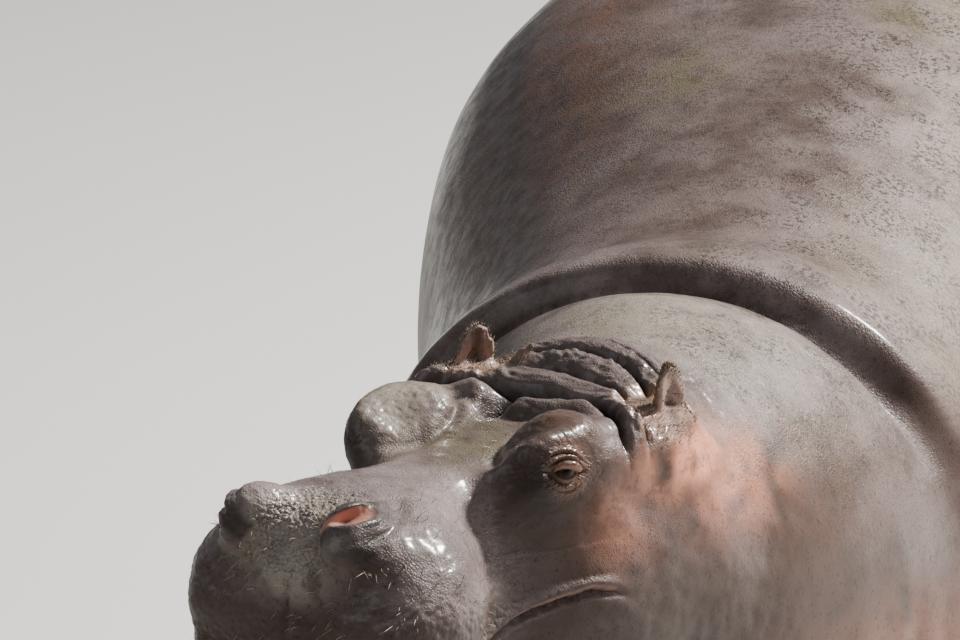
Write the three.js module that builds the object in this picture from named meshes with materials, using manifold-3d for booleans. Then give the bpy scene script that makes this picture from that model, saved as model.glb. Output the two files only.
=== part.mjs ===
// A standing adult hippopotamus, Hippopotamus amphibius, life size, in millimetres.
// The part's frame: +Z up, the trunk faces -Y, and +X is the animal's left. The floor is z = 0.
// The body is drawn on a straight spine first: s runs back from the tip of the snout, b is to the left
// and z is up. place() then turns the head to the animal's right by bending the neck.
import * as THREE from "three";
import { mergeVertices } from "three/addons/utils/BufferGeometryUtils.js";
import Module from "manifold-3d";

// ---------------------------------------------------------------- driving dimensions

const EYE_LEVEL = 1235;
const HEAD_TURN = THREE.MathUtils.degToRad(25.6);
const HEAD_END = 735;
const NECK_END = 1270;
const BODY_END = 3490;
const GAP = 0.35;

const EYE = { s: 436, b: 163, z: EYE_LEVEL + 14, radius: 24 };
const NOSTRIL = { s: 50, b: 87, z: EYE_LEVEL + 26, length: 96, width: 24, depth: 52, splay: 0.4, lean: 0.75 };
const EAR = { s: 690, b: 172, z: EYE_LEVEL - 12, height: 156, width: 70, thickness: 29 };
// How far each ear's hollow is turned from straight ahead, outwards, in radians.
const EAR_FACING = { left: 1.5, right: -1.1 };
const FORE_LEG = { name: "fore", s: 1462, b: 296, lean: -10, girth: 1 };
const HIND_LEG = { name: "hind", s: 3070, b: 318, lean: 26, girth: 1.05 };
const TOES = { angles: [-66, -23, 23, 66], bulge: 24, top: 150 };
const NAIL = { height: 62, width: 58, depth: 34, clear: 3 };
const TAIL = { s: 3440, z: 1160, width: 92, thickness: 62 };

// ---------------------------------------------------------------- materials

const finish = (color, roughness, metalness = 0) =>
  new THREE.MeshStandardMaterial({ color, roughness, metalness });
const HIDE = finish(0x4b423f, 0.45);
const EAR_SKIN = finish(0x7d5a48, 0.5);
const EYE_DARK = finish(0x1a0f0a, 0.08);
const HOOF = finish(0x5a4c42, 0.5);

// ---------------------------------------------------------------- small maths

const clamp01 = (x) => Math.min(1, Math.max(0, x));
const smoothstep = (a, b, x) => {
  const t = clamp01((x - a) / (b - a));
  return t * t * (3 - 2 * t);
};

// A smooth curve through [[s, value], ...] that never overshoots its keys.
function track(keys) {
  const slope = keys.slice(1).map(([s, v], i) => (v - keys[i][1]) / (s - keys[i][0]));
  const tangent = keys.map((_, i) => {
    const before = slope[i - 1];
    const after = slope[i];
    if (before === undefined || after === undefined) return before ?? after;
    return before * after <= 0 ? 0 : (2 * before * after) / (before + after);
  });
  return (s) => {
    if (s <= keys[0][0]) return keys[0][1];
    const i = keys.findIndex(([key]) => key >= s) - 1;
    if (i < 0) return keys.at(-1)[1];
    const h = keys[i + 1][0] - keys[i][0];
    const t = (s - keys[i][0]) / h;
    const ease = t * t * (3 - 2 * t);
    const bow = h * t * (1 - t) * ((1 - t) * tangent[i] - t * tangent[i + 1]);
    return keys[i][1] * (1 - ease) + keys[i + 1][1] * ease + bow;
  };
}

const up = (z) => EYE_LEVEL + z;

function smoothMin(a, b, k) {
  const h = Math.max(k - Math.abs(a - b), 0) / k;
  return Math.min(a, b) - (h * h * k) / 4;
}

// Fields are negative inside. This one is an ellipsoid, turned about the vertical by yaw.
function ellipsoid([s, b, z], [rs, rb, rz], yaw = 0) {
  const [c, d] = [Math.cos(yaw), Math.sin(yaw)];
  const least = Math.min(rs, rb, rz);
  return (ps, pb, pz) => {
    const [u, v] = [ps - s, pb - b];
    return (Math.hypot((u * c + v * d) / rs, (v * c - u * d) / rb, (pz - z) / rz) - 1) * least;
  };
}

// ---------------------------------------------------------------- the body's sections along the spine

// half is the half width, top and bottom are heights from eye level, and waist is where it is widest.
// A squareness of 2 is an ellipse, and more is boxier.
const BODY = {
  half: track([
    [0, 160], [150, 166], [270, 132], [350, 122], [440, 144], [560, 182], [700, 226], [800, 268],
    [950, 328], [1145, 396], [1270, 448], [1400, 470], [1550, 476], [1700, 496], [2070, 566],
    [2400, 626], [2660, 642], [2900, 622], [3100, 574], [3490, 460],
  ]),
  top: track([
    [0, -8], [80, 16], [180, 34], [300, 27], [440, 23], [560, 40], [720, 54], [860, 62],
    [1040, 76], [1120, 72], [1210, 44], [1270, 36], [1400, 50], [1550, 72], [1750, 98],
    [2070, 142], [2400, 178], [2700, 190], [2950, 184], [3200, 140], [3490, 40],
  ]),
  bottom: track([
    [0, -300], [120, -334], [300, -346], [450, -376], [600, -430], [720, -482], [850, -566],
    [1000, -664], [1150, -740], [1300, -788], [1450, -814], [1600, -836], [1850, -868],
    [2250, -898], [2650, -896], [2950, -874], [3200, -838], [3490, -760],
  ]),
  waist: track([
    [0, -120], [300, -150], [450, -175], [700, -232], [850, -300], [1000, -370], [1145, -420],
    [1330, -440], [1600, -436], [2070, -400], [2660, -345], [3100, -312], [3490, -275],
  ]),
  squareness: track([
    [0, 3.0], [250, 2.7], [450, 2.35], [800, 2.2], [1000, 2.12], [1330, 2.05], [1700, 2.06],
    [2070, 2.15], [2660, 2.4], [3490, 2.25],
  ]),
  squarenessBelow: track([[0, 3.0], [450, 2.4], [1000, 2.15], [1700, 2.05], [3490, 2.05]]),
};
const NOSE_ROUND = { reach: 95, power: 2.5 };
const RUMP_ROUND = { reach: 520, power: 2.15 };

// How much a section shrinks towards the snout's front and the rump's back, from 1 down to 0.
function endRounding(s) {
  const near = (d, { reach, power }) => {
    const t = clamp01(1 - d / reach);
    return (1 - t ** power) ** (1 / power);
  };
  return Math.max(near(s, NOSE_ROUND) * near(BODY_END - s, RUMP_ROUND), 1e-3);
}

function bodyField(s, b, z) {
  const rounding = endRounding(Math.min(Math.max(s, 0), BODY_END));
  const waist = EYE_LEVEL + BODY.waist(s);
  const half = BODY.half(s) * rounding;
  const edge = EYE_LEVEL + (z > waist ? BODY.top(s) : BODY.bottom(s));
  const height = Math.abs(edge - waist) * rounding;
  const n = z > waist ? BODY.squareness(s) : BODY.squarenessBelow(s);
  const ratio = Math.max((Math.abs(b / half) ** n + Math.abs((z - waist) / height) ** n) ** (1 / n), 1e-3);
  const outside = Math.max(-s, s - BODY_END, 0);
  return Math.max(Math.hypot(b, z - waist), 1e-3) * (1 - 1 / ratio) + outside;
}

// The rolls of skin across the neck: each rises from a crease at its front and eases off behind.
const ROLLS = [
  { height: 46, front: NECK_END - 14, crest: NECK_END + 56, back: NECK_END + 220, low: -470, high: -100 },
];
function rollHeight(s, z) {
  return ROLLS.reduce((sum, { height, front, crest, back, low, high }) => {
    const along = smoothstep(front, crest, s) * (1 - smoothstep(crest, back, s));
    return sum + height * along * (0.08 + 0.92 * smoothstep(up(low), up(high), z));
  }, 0);
}

const HEAD_MOUNDS = [
  { name: "lip pad", blend: 46, field: ellipsoid([136, 122, up(-126)], [140, 96, 118], -0.1) },
  { name: "nostril", blend: 26, field: ellipsoid([56, 77, up(-6)], [72, 46, 52], -0.35) },
  { name: "eye turret", blend: 26, field: ellipsoid([444, 137, up(17)], [92, 41, 71]) },
  { name: "fold behind the turret", blend: 24, field: ellipsoid([503, 128, up(6)], [50, 60, 60], 0.1) },
  { name: "cheek", blend: 90, field: ellipsoid([600, 128, up(-200)], [190, 104, 190]) },
  { name: "ridge from eye to ear", blend: 34, field: ellipsoid([616, 152, up(4)], [112, 56, 50], 0.06) },
  { name: "ear base", blend: 50, field: ellipsoid([690, 164, up(-12)], [64, 46, 56]) },
  { name: "chin", blend: 60, field: ellipsoid([120, 76, up(-262)], [112, 112, 92]) },
];
const BODY_MOUNDS = [
  { name: "shoulder", blend: 110, field: ellipsoid([1465, 318, up(-600)], [186, 160, 320]) },
  { name: "thigh", blend: 130, field: ellipsoid([3075, 366, up(-560)], [290, 190, 390]) },
];
const MOUNDS_SPLIT = 1000;

function wholeField(s, b, z) {
  let value = bodyField(s, b, z) - rollHeight(s, z);
  for (const mound of s < MOUNDS_SPLIT ? HEAD_MOUNDS : BODY_MOUNDS)
    value = smoothMin(value, mound.field(s, Math.abs(b), z), mound.blend);
  return value;
}

// ---------------------------------------------------------------- from the straight spine to the pose

const NECK_RADIUS = (NECK_END - HEAD_END) / HEAD_TURN;
const SHIFT = track([[HEAD_END, 0], [1000, -46], [1290, -62], [1500, -26], [1750, 0]]);
function place(s, b, z) {
  const turn = HEAD_TURN * clamp01((NECK_END - s) / (NECK_END - HEAD_END));
  const [sin, cos] = [Math.sin(turn), Math.cos(turn)];
  const beyond = s < HEAD_END ? HEAD_END - s : Math.min(NECK_END - s, 0);
  const x = -NECK_RADIUS * (1 - cos) - beyond * sin + (b + SHIFT(s)) * cos;
  const y = NECK_END - NECK_RADIUS * sin - beyond * cos - (b + SHIFT(s)) * sin;
  return new THREE.Vector3(x, y, z);
}

// A geometry without normals and map, its shared corners merged.
function bare(geometry) {
  geometry.deleteAttribute("normal");
  geometry.deleteAttribute("uv");
  return mergeVertices(geometry, 1e-3);
}

// Moves a geometry drawn with x as s and y as b, such as a ball on the left, into the pose, on the left
// or mirrored on the right. Swapping the two axes turns its faces inside out, and mirroring turns them back.
function placed(geometry, side = 1) {
  const moved = bare(geometry);
  const position = moved.attributes.position;
  for (let i = 0; i < position.count; i++) {
    const p = place(position.getX(i), side * position.getY(i), position.getZ(i));
    position.setXYZ(i, p.x, p.y, p.z);
  }
  if (side > 0) moved.index.array.reverse();
  return moved;
}

// ---------------------------------------------------------------- meshes

// The outermost point of a field along a ray from a point inside it, as a distance.
function outermost(field, origin, direction, reach) {
  const at = (r) => field(...origin.map((o, i) => o + direction[i] * r));
  const STEP = 12;
  let r = reach;
  while (r > STEP && at(r) > 0) r -= STEP;
  let [inside, outside] = [r, r + STEP];
  for (let i = 0; i < 14; i++) {
    const middle = (inside + outside) / 2;
    if (at(middle) < 0) inside = middle;
    else outside = middle;
  }
  return inside;
}

// One closed surface through rings of points, each with the same number of points, in order.
// A ring of one point is a pole. An end that isn't a pole is closed by a flat fan.
function skinOf(rings) {
  const positions = [];
  const index = [];
  const first = [];
  for (const ring of rings) {
    first.push(positions.length / 3);
    for (const p of ring) positions.push(p.x, p.y, p.z);
  }
  const count = Math.max(...rings.map((ring) => ring.length));
  for (let i = 1; i < rings.length; i++)
    for (let j = 0; j < count; j++) {
      const k = (j + 1) % count;
      const [low, high] = [first[i - 1], first[i]];
      if (rings[i - 1].length === 1) index.push(low, high + j, high + k);
      else if (rings[i].length === 1) index.push(low + j, high, low + k);
      else index.push(low + j, high + j, low + k, low + k, high + j, high + k);
    }
  const cap = (ring, start, atFront) => {
    if (ring.length === 1) return;
    const middle = ring.reduce((sum, p) => sum.add(p), new THREE.Vector3()).divideScalar(ring.length);
    const centre = positions.length / 3;
    positions.push(middle.x, middle.y, middle.z);
    for (let j = 0; j < count; j++) {
      const k = (j + 1) % count;
      if (atFront) index.push(centre, start + j, start + k);
      else index.push(centre, start + k, start + j);
    }
  };
  cap(rings[0], first[0], true);
  cap(rings.at(-1), first.at(-1), false);
  const geometry = new THREE.BufferGeometry();
  geometry.setAttribute("position", new THREE.Float32BufferAttribute(positions, 3));
  geometry.setIndex(index);
  return geometry;
}

// A length of the body. Its ends are cut flat, or rounded off by rings of rays that turn from across
// the spine to along it. The gap makes it fatter by that much, for use as a cutter.
function bodyLength({ from, to, spacing, around, roundFront = 0, roundBack = 0, gap = 0 }) {
  const REACH = 950;
  const field = (s, b, z) => wholeField(s, b, z) - gap;
  const hit = (s, direction) => {
    const origin = [s, 0, EYE_LEVEL + BODY.waist(s)];
    const r = outermost(field, origin, direction, REACH);
    return place(...origin.map((o, i) => o + direction[i] * r));
  };
  const ring = (s, tilt) =>
    Array.from({ length: around }, (_, j) => {
      const angle = (2 * Math.PI * j) / around;
      return hit(s, [Math.sin(tilt), Math.cos(angle) * Math.cos(tilt), Math.sin(angle) * Math.cos(tilt)]);
    });
  const rings = [];
  if (roundFront) rings.push([hit(from, [-1, 0, 0])]);
  for (let i = 1; i < roundFront; i++) rings.push(ring(from, (-Math.PI / 2) * (1 - i / roundFront)));
  for (let s = from; s < to - spacing(s) * 0.5; s += spacing(s)) rings.push(ring(s, 0));
  rings.push(ring(to, 0));
  for (let i = 1; i < roundBack; i++) rings.push(ring(to, (Math.PI / 2) * (i / roundBack)));
  if (roundBack) rings.push([hit(to, [1, 0, 0])]);
  return skinOf(rings);
}

const wasm = await Module();
wasm.setup();

// A closed geometry as a manifold-3d solid, and back.
function solid(geometry) {
  const merged = bare(geometry);
  return new wasm.Manifold(
    new wasm.Mesh({
      numProp: 3,
      vertProperties: merged.attributes.position.array,
      triVerts: new Uint32Array(merged.index.array),
    }),
  );
}
function geometryOf(made) {
  const { vertProperties, triVerts, numProp } = made.getMesh();
  const positions = new Float32Array((vertProperties.length / numProp) * 3);
  for (let i = 0; i < positions.length / 3; i++)
    positions.set(vertProperties.subarray(i * numProp, i * numProp + 3), i * 3);
  const geometry = new THREE.BufferGeometry();
  geometry.setAttribute("position", new THREE.BufferAttribute(positions, 3));
  geometry.setIndex(new THREE.BufferAttribute(triVerts, 1));
  return geometry;
}

const hippo = new THREE.Group();
function add(name, shape, material) {
  const mesh = new THREE.Mesh(shape.isBufferGeometry ? shape : geometryOf(shape), material);
  mesh.name = name;
  hippo.add(mesh);
}
const SIDES = [
  { name: "left", side: 1 },
  { name: "right", side: -1 },
];

// ---------------------------------------------------------------- trunk, neck and whole head

const TRUNK_RINGS = {
  from: NECK_END,
  to: BODY_END - 300,
  spacing: (s) => (s < NECK_END + 75 ? 25 : 123),
  around: 34,
  roundBack: 5,
};
const NECK_RINGS = { from: HEAD_END, to: NECK_END - GAP, spacing: (s) => (s < 1140 ? 66 : 38), around: 28 };
const HEAD_RINGS = {
  from: 112,
  to: HEAD_END - GAP,
  spacing: (s) => (s < 330 ? 34 : s < 560 ? 27 : 42),
  around: 32,
  roundFront: 6,
};
const trunkSolid = solid(bodyLength(TRUNK_RINGS));
const trunkCutter = solid(bodyLength({ ...TRUNK_RINGS, gap: GAP * 1.3 }));
const neckSolid = solid(bodyLength(NECK_RINGS));
const headSolid = solid(bodyLength(HEAD_RINGS));
const headCutter = solid(bodyLength({ ...HEAD_RINGS, gap: GAP * 1.3 }));

// ---------------------------------------------------------------- eyes and nostrils

function eyeball(side, radius) {
  const ball = new THREE.SphereGeometry(radius, 12, 8);
  ball.rotateX(Math.PI / 2);
  ball.translate(EYE.s, EYE.b, EYE.z);
  return solid(placed(ball, side));
}

function nostrilCut(side) {
  const slit = new THREE.SphereGeometry(1, 12, 8);
  slit.scale(NOSTRIL.length / 2, NOSTRIL.width / 2, NOSTRIL.depth / 2);
  slit.rotateX(-NOSTRIL.lean);
  slit.rotateZ(NOSTRIL.splay);
  slit.translate(NOSTRIL.s, NOSTRIL.b, NOSTRIL.z);
  return solid(placed(slit, side));
}

// ---------------------------------------------------------------- the line that parts the jaws

// The mouth line seen from the side, then the jaw's back edge down to the throat, as s and height.
const MOUTH_LINE = [
  [-90, -196], [40, -200], [130, -226], [220, -246], [300, -222], [380, -186], [470, -166],
  [560, -206], [640, -296], [690, -400], [716, -560],
];
function sideOfMouth(belowIt) {
  const line = new THREE.SplineCurve(MOUTH_LINE.map(([s, z]) => new THREE.Vector2(s, up(z))));
  const offset = belowIt ? -GAP / 2 : GAP / 2;
  const outline = line.getPoints(22).map((p) => new THREE.Vector2(p.x, p.y + offset));
  const [start, end] = [outline[0], outline.at(-1)];
  const BEHIND = 950;
  if (belowIt) outline.push(new THREE.Vector2(start.x, up(-900)));
  else
    outline.push(
      new THREE.Vector2(BEHIND, end.y),
      new THREE.Vector2(BEHIND, up(500)),
      new THREE.Vector2(start.x, up(500)),
    );
  const WIDTH = 900;
  const slab = new THREE.ExtrudeGeometry(new THREE.Shape(outline), { depth: WIDTH, bevelEnabled: false });
  slab.rotateX(Math.PI / 2);
  slab.translate(0, WIDTH / 2, 0);
  return solid(placed(slab));
}

// ---------------------------------------------------------------- ears

// A rounded leaf of an ear on a narrow stalk, cupped on the face that looks forwards and outwards.
// It's drawn standing up with its hollow face towards -y.
function earSolid(side, facing) {
  const width = track([[0, 0.5], [0.25, 0.72], [0.6, 1], [0.85, 0.8], [1, 0.34]]);
  const depth = track([[0, 1.3], [0.3, 1.1], [0.7, 0.8], [1, 0.45]]);
  const CURL = 0.0075;
  const [RINGS, AROUND] = [7, 10];
  const rings = [];
  for (let i = RINGS; i >= 0; i--) {
    const t = i / RINGS;
    rings.push(
      Array.from({ length: AROUND }, (_, j) => {
        const angle = (2 * Math.PI * j) / AROUND;
        const across = (Math.cos(angle) * EAR.width * width(t)) / 2;
        const through = (Math.sin(angle) * EAR.thickness * depth(t)) / 2 - across * across * CURL;
        return new THREE.Vector3(across, through, (t - 0.2) * EAR.height);
      }),
    );
  }
  const bowl = new THREE.SphereGeometry(1, 12, 8);
  bowl.scale(EAR.width * 0.35, EAR.thickness * 0.7, EAR.height * 0.36);
  bowl.translate(0, -EAR.thickness * 0.72, EAR.height * 0.36);
  const [leafSolid, bowlSolid] = [skinOf(rings), bowl].map((geometry) => {
    geometry.rotateY(0.12);
    geometry.rotateX(0.14);
    geometry.rotateZ(-(Math.PI / 2 + facing));
    geometry.translate(EAR.s, EAR.b, EAR.z);
    return solid(placed(geometry, side));
  });
  return leafSolid.subtract(bowlSolid).subtract(headCutter);
}

// ---------------------------------------------------------------- legs

// How far the leg reaches from its centre line at each height, and how far each toe bulges from it.
const LEG_REACH = track([
  [0, 120], [10, 134], [45, 140], [95, 126], [145, 118], [200, 122], [290, 148], [380, 166],
  [470, 166], [560, 142], [640, 90],
]);
const LEG_HEIGHTS = [620, 490, 370, 275, 200, 145, 95, 52, 16, 0];
const TOE_ANGLES_AROUND = 16;
const HEEL_ANGLES_AROUND = 8;
function toeBulge(degrees) {
  const nearest = Math.min(...TOES.angles.map((angle) => Math.abs(degrees - angle)));
  return nearest < 22.5 ? Math.cos(THREE.MathUtils.degToRad(nearest * 4)) * TOES.bulge : 0;
}
function legPoint({ s, b, lean, girth }, degrees, z, grow = 0) {
  const angle = THREE.MathUtils.degToRad(degrees);
  const low = 1 - smoothstep(40, TOES.top, z);
  const forward = 1 + 0.1 * low * Math.cos(angle);
  const reach = LEG_REACH(z) * girth * forward + toeBulge(degrees) * low + grow;
  const centre = s + lean * (z / LEG_HEIGHTS[0] - 0.3);
  return new THREE.Vector3(centre - Math.cos(angle) * reach, b + Math.sin(angle) * reach * 0.94, z);
}
function legSolid(leg, side, grow = 0) {
  const front = Array.from({ length: TOE_ANGLES_AROUND }, (_, j) => 90 - (180 * j) / TOE_ANGLES_AROUND);
  const back = Array.from({ length: HEEL_ANGLES_AROUND }, (_, j) => -90 - (180 * j) / HEEL_ANGLES_AROUND);
  const rings = LEG_HEIGHTS.map((z) => [...front, ...back].map((degrees) => legPoint(leg, degrees, z, grow)));
  return solid(placed(skinOf(rings), side));
}

// A hoof-like nail on the front of a toe.
function nailSolid(leg, degrees, side) {
  const nail = new THREE.OctahedronGeometry(1, 1);
  nail.scale(NAIL.depth / 2, NAIL.width / 2, NAIL.height / 2);
  nail.rotateY(0.28);
  nail.rotateZ(THREE.MathUtils.degToRad(-degrees));
  const root = legPoint(leg, degrees, NAIL.height / 2 + NAIL.clear, -NAIL.depth * 0.14);
  nail.translate(root.x, root.y, root.z);
  return solid(placed(nail, side));
}

// ---------------------------------------------------------------- tail

function tailSolid() {
  const spine = new THREE.CatmullRomCurve3(
    [[0, 0], [70, -36], [112, -130], [112, -260], [98, -392]].map(
      ([back, z]) => new THREE.Vector3(TAIL.s + back, 0, TAIL.z + z),
    ),
  );
  const width = track([[0, 1], [0.4, 0.78], [0.8, 0.6], [1, 0.28]]);
  const depth = track([[0, 1], [0.4, 0.7], [0.8, 0.34], [1, 0.2]]);
  const [RINGS, AROUND] = [8, 12];
  const rings = Array.from({ length: RINGS + 1 }, (_, i) => {
    const t = i / RINGS;
    const p = spine.getPoint(t);
    const along = spine.getTangent(t);
    const back = new THREE.Vector3(-along.z, 0, along.x);
    return Array.from({ length: AROUND }, (_, j) => {
      const angle = (2 * Math.PI * j) / AROUND;
      const out = (Math.sin(angle) * TAIL.thickness * depth(t)) / 2;
      return new THREE.Vector3(
        p.x + back.x * out,
        (Math.cos(angle) * TAIL.width * width(t)) / 2,
        p.z + back.z * out,
      );
    });
  });
  return solid(placed(skinOf(rings.map((ring) => ring.reverse())))).subtract(trunkCutter);
}

// ---------------------------------------------------------------- parts

const headCut = SIDES.reduce(
  (made, { side }) => made.subtract(eyeball(side, EYE.radius + GAP)).subtract(nostrilCut(side)),
  headSolid,
);
add("head", headCut.intersect(sideOfMouth(false)), HIDE);
add("lower_jaw", headCut.intersect(sideOfMouth(true)), HIDE);
add("neck", neckSolid, HIDE);
add("trunk", trunkSolid, HIDE);
add("tail", tailSolid(), HIDE);
for (const { name, side } of SIDES) {
  add(`eye_${name}`, eyeball(side, EYE.radius), EYE_DARK);
  add(`ear_${name}`, earSolid(side, EAR_FACING[name]), EAR_SKIN);
}
for (const leg of [FORE_LEG, HIND_LEG])
  for (const { name, side } of SIDES) {
    add(`${leg.name}_leg_${name}`, legSolid(leg, side).subtract(trunkCutter), HIDE);
    const bed = legSolid(leg, side, GAP * 1.5);
    TOES.angles.forEach((degrees, i) =>
      add(`${leg.name}_nail_${name}_${i + 1}`, nailSolid(leg, degrees, side).subtract(bed), HOOF),
    );
  }

// The origin is at the middle of the whole animal's box, on the floor.
const whole = new THREE.Box3().setFromObject(hippo);
const middle = whole.getCenter(new THREE.Vector3());
for (const mesh of hippo.children) mesh.geometry.translate(-middle.x, -middle.y, -whole.min.z);

export default hippo;
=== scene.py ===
"""The looks of a standing adult hippopotamus, life size, as a still museum model.

Everything is in metres in the part's frame: +Z up, the trunk faces -Y, +X is the animal's left and the
floor is z = 0. The hide is one skin, grown from the frame's flesh nodes and then sculpted in spine
coordinates: s runs back from the tip of the snout, b to the animal's left and z up, with the head and
neck unbent. The eyes, nails, bristles and ear hairs are pieces of their own.
"""

import math
from functools import reduce

import bpy
import numpy as np
import openvdb
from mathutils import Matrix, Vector


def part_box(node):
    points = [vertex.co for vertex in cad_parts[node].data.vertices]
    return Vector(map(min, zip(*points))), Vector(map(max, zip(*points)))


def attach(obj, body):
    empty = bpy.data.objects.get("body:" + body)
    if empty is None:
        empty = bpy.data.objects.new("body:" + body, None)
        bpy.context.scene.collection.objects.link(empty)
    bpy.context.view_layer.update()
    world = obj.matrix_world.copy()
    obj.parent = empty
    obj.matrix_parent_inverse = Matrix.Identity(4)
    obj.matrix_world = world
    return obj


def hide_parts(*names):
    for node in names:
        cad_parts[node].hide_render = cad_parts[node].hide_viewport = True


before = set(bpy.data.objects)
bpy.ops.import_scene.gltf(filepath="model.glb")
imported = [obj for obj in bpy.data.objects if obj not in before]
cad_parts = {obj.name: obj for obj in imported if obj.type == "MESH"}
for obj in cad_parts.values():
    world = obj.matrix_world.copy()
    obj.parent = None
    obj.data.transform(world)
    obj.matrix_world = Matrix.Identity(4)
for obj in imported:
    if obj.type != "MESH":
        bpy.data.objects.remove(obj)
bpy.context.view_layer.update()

SIDES = {"left": 1, "right": -1}
LEGS = [f"{end}_leg_{side}" for end in ("fore", "hind") for side in SIDES]
EARS = [f"ear_{side}" for side in SIDES]
NAILS = sorted(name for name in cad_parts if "_nail_" in name)
FLESH = ["head", "lower_jaw", "neck", "trunk", "tail", *EARS, *LEGS]


# ---------------- small maths on arrays

def smoothstep(low, high, x):
    t = np.clip((x - low) / (high - low), 0, 1)
    return t * t * (3 - 2 * t)


def bell(x, width):
    """1 at zero, falling smoothly to nothing about two widths away."""
    return np.exp(-((x / width) ** 2))


def plateau(x, start, full, fading, end):
    """1 from full to fading, falling smoothly to nothing at start and at end."""
    return smoothstep(start, full, x) * (1 - smoothstep(fading, end, x))


def blob(points, middle, radii):
    """1 at middle, falling smoothly to nothing about two radii away."""
    return np.exp(-(((points - middle) / radii) ** 2).sum(1))


def unit(vectors):
    return vectors / np.maximum(np.linalg.norm(vectors, axis=-1, keepdims=True), 1e-12)


def track(keys):
    """A smooth curve through (x, value) keys that never overshoots them."""
    x, v = np.array(keys, float).T
    slope = np.diff(v) / np.diff(x)
    before, after = slope[:-1], slope[1:]
    level = before * after <= 0
    inner = np.where(level, 0, 2 * before * after / np.where(level, 1, before + after))
    tangent = np.concatenate([slope[:1], inner, slope[-1:]])

    def curve(at):
        at = np.clip(at, x[0], x[-1])
        i = np.clip(np.searchsorted(x, at) - 1, 0, len(slope) - 1)
        h = x[i + 1] - x[i]
        t = (at - x[i]) / h
        bow = h * t * (1 - t) * ((1 - t) * tangent[i] - t * tangent[i + 1])
        return v[i] + (v[i + 1] - v[i]) * t * t * (3 - 2 * t) + bow

    return curve


def lattice(cells, seed):
    """A fixed pseudo-random number from 0 to 1 for each integer cell."""
    i, j, k = cells.astype(np.int64).T
    h = (i * 73856093) ^ (j * 19349663) ^ (k * 83492791) ^ (seed * 40503 + 977)
    h = ((h ^ (h >> 13)) * 1274126177) & 0xFFFFFFFF
    h = ((h ^ (h >> 15)) * 668265263) & 0xFFFFFFFF
    return ((h ^ (h >> 16)) & 0xFFFFFF) / float(0xFFFFFF)


def noise(points, size, seed=0):
    """Smooth noise from -1 to 1, with features about as wide as size, a number or one for each axis."""
    q = points / size
    base = np.floor(q)
    t = q - base
    t = t * t * (3 - 2 * t)
    total = np.zeros(len(q))
    for corner in np.ndindex(2, 2, 2):
        weight = np.prod(np.where(corner, t, 1 - t), axis=1)
        total += weight * lattice(base + corner, seed)
    return total * 2 - 1


def pebbles(points, size, seed=0, crack=0.45):
    """Rounded bumps packed side by side: 1 at the middle of each and 0 in the cracks between them."""
    q = points / size
    base = np.floor(q)
    nearest = np.full(len(q), 9.0)
    second = np.full(len(q), 9.0)
    for step in np.ndindex(3, 3, 3):
        cell = base + step - 1
        spot = np.stack([lattice(cell, seed + axis) for axis in (1, 2, 3)], 1)
        far = np.linalg.norm(cell + spot - q, axis=1)
        second = np.minimum(second, np.maximum(nearest, far))
        nearest = np.minimum(nearest, far)
    return smoothstep(0, crack, second - nearest)


# ---------------- spine coordinates

# The head is turned to the animal's right. It ends at HEAD_END along s, and the neck, bent round a
# circle, at NECK_END. SHIFT moves the neck's middle sideways.
HEAD_TURN = math.radians(25.6)
HEAD_END = 0.735
NECK_END = 1.270
NECK_RADIUS = (NECK_END - HEAD_END) / HEAD_TURN
SHIFT = track([(HEAD_END, 0), (1.0, -0.046), (1.29, -0.062), (1.5, -0.026), (1.75, 0)])
SNOUT_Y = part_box("trunk")[0].y - NECK_END
TURN_SIN, TURN_COS = math.sin(HEAD_TURN), math.cos(HEAD_TURN)


def to_spine(points):
    """Frame points as (s, b, z)."""
    x, y, z = points.T
    y = y - SNOUT_Y
    angle = np.arctan2(NECK_END - y, x + NECK_RADIUS)
    radius = np.hypot(x + NECK_RADIUS, NECK_END - y)
    dx = x + NECK_RADIUS * (1 - TURN_COS)
    dy = y - NECK_END + NECK_RADIUS * TURN_SIN
    places = [angle < 0, angle < HEAD_TURN]
    s = np.select(places, [y, NECK_END - angle * NECK_RADIUS], HEAD_END + dx * TURN_SIN + dy * TURN_COS)
    b = np.select(places, [x, radius - NECK_RADIUS], dx * TURN_COS - dy * TURN_SIN)
    return np.stack([s, b - SHIFT(s), z], 1)


def from_spine(spine):
    """(s, b, z) as frame points."""
    s, b, z = np.asarray(spine, float).reshape(-1, 3).T
    turn = HEAD_TURN * np.clip((NECK_END - s) / (NECK_END - HEAD_END), 0, 1)
    beyond = np.where(s < HEAD_END, HEAD_END - s, np.minimum(NECK_END - s, 0))
    out = b + SHIFT(s)
    x = -NECK_RADIUS * (1 - np.cos(turn)) - beyond * np.sin(turn) + out * np.cos(turn)
    y = NECK_END - NECK_RADIUS * np.sin(turn) - beyond * np.cos(turn) - out * np.sin(turn)
    return np.stack([x, y + SNOUT_Y, z], 1)


def box_middle(node):
    low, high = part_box(node)
    return np.array((low + high) / 2)


def middle_of(node):
    """The middle of a node's box, in spine coordinates."""
    return to_spine(box_middle(node)[None])[0]


def across(direction):
    """A direction in the head's own (s, b, z) as one in the frame."""
    s, b, z = direction
    return np.array([s * TURN_SIN + b * TURN_COS, s * TURN_COS - b * TURN_SIN, z])


EYE_S, EYE_B, EYE_Z = middle_of("eye_left")
EYE_RADIUS = (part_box("eye_left")[1].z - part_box("eye_left")[0].z) / 2
BROW_Z = EYE_Z - 0.014


# ---------------- triangle meshes as arrays

def triangles_of(obj):
    mesh = obj.data
    mesh.calc_loop_triangles()
    points = np.empty(len(mesh.vertices) * 3, np.float32)
    mesh.vertices.foreach_get("co", points)
    tris = np.empty(len(mesh.loop_triangles) * 3, np.int32)
    mesh.loop_triangles.foreach_get("vertices", tris)
    return points.reshape(-1, 3), tris.reshape(-1, 3)


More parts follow.
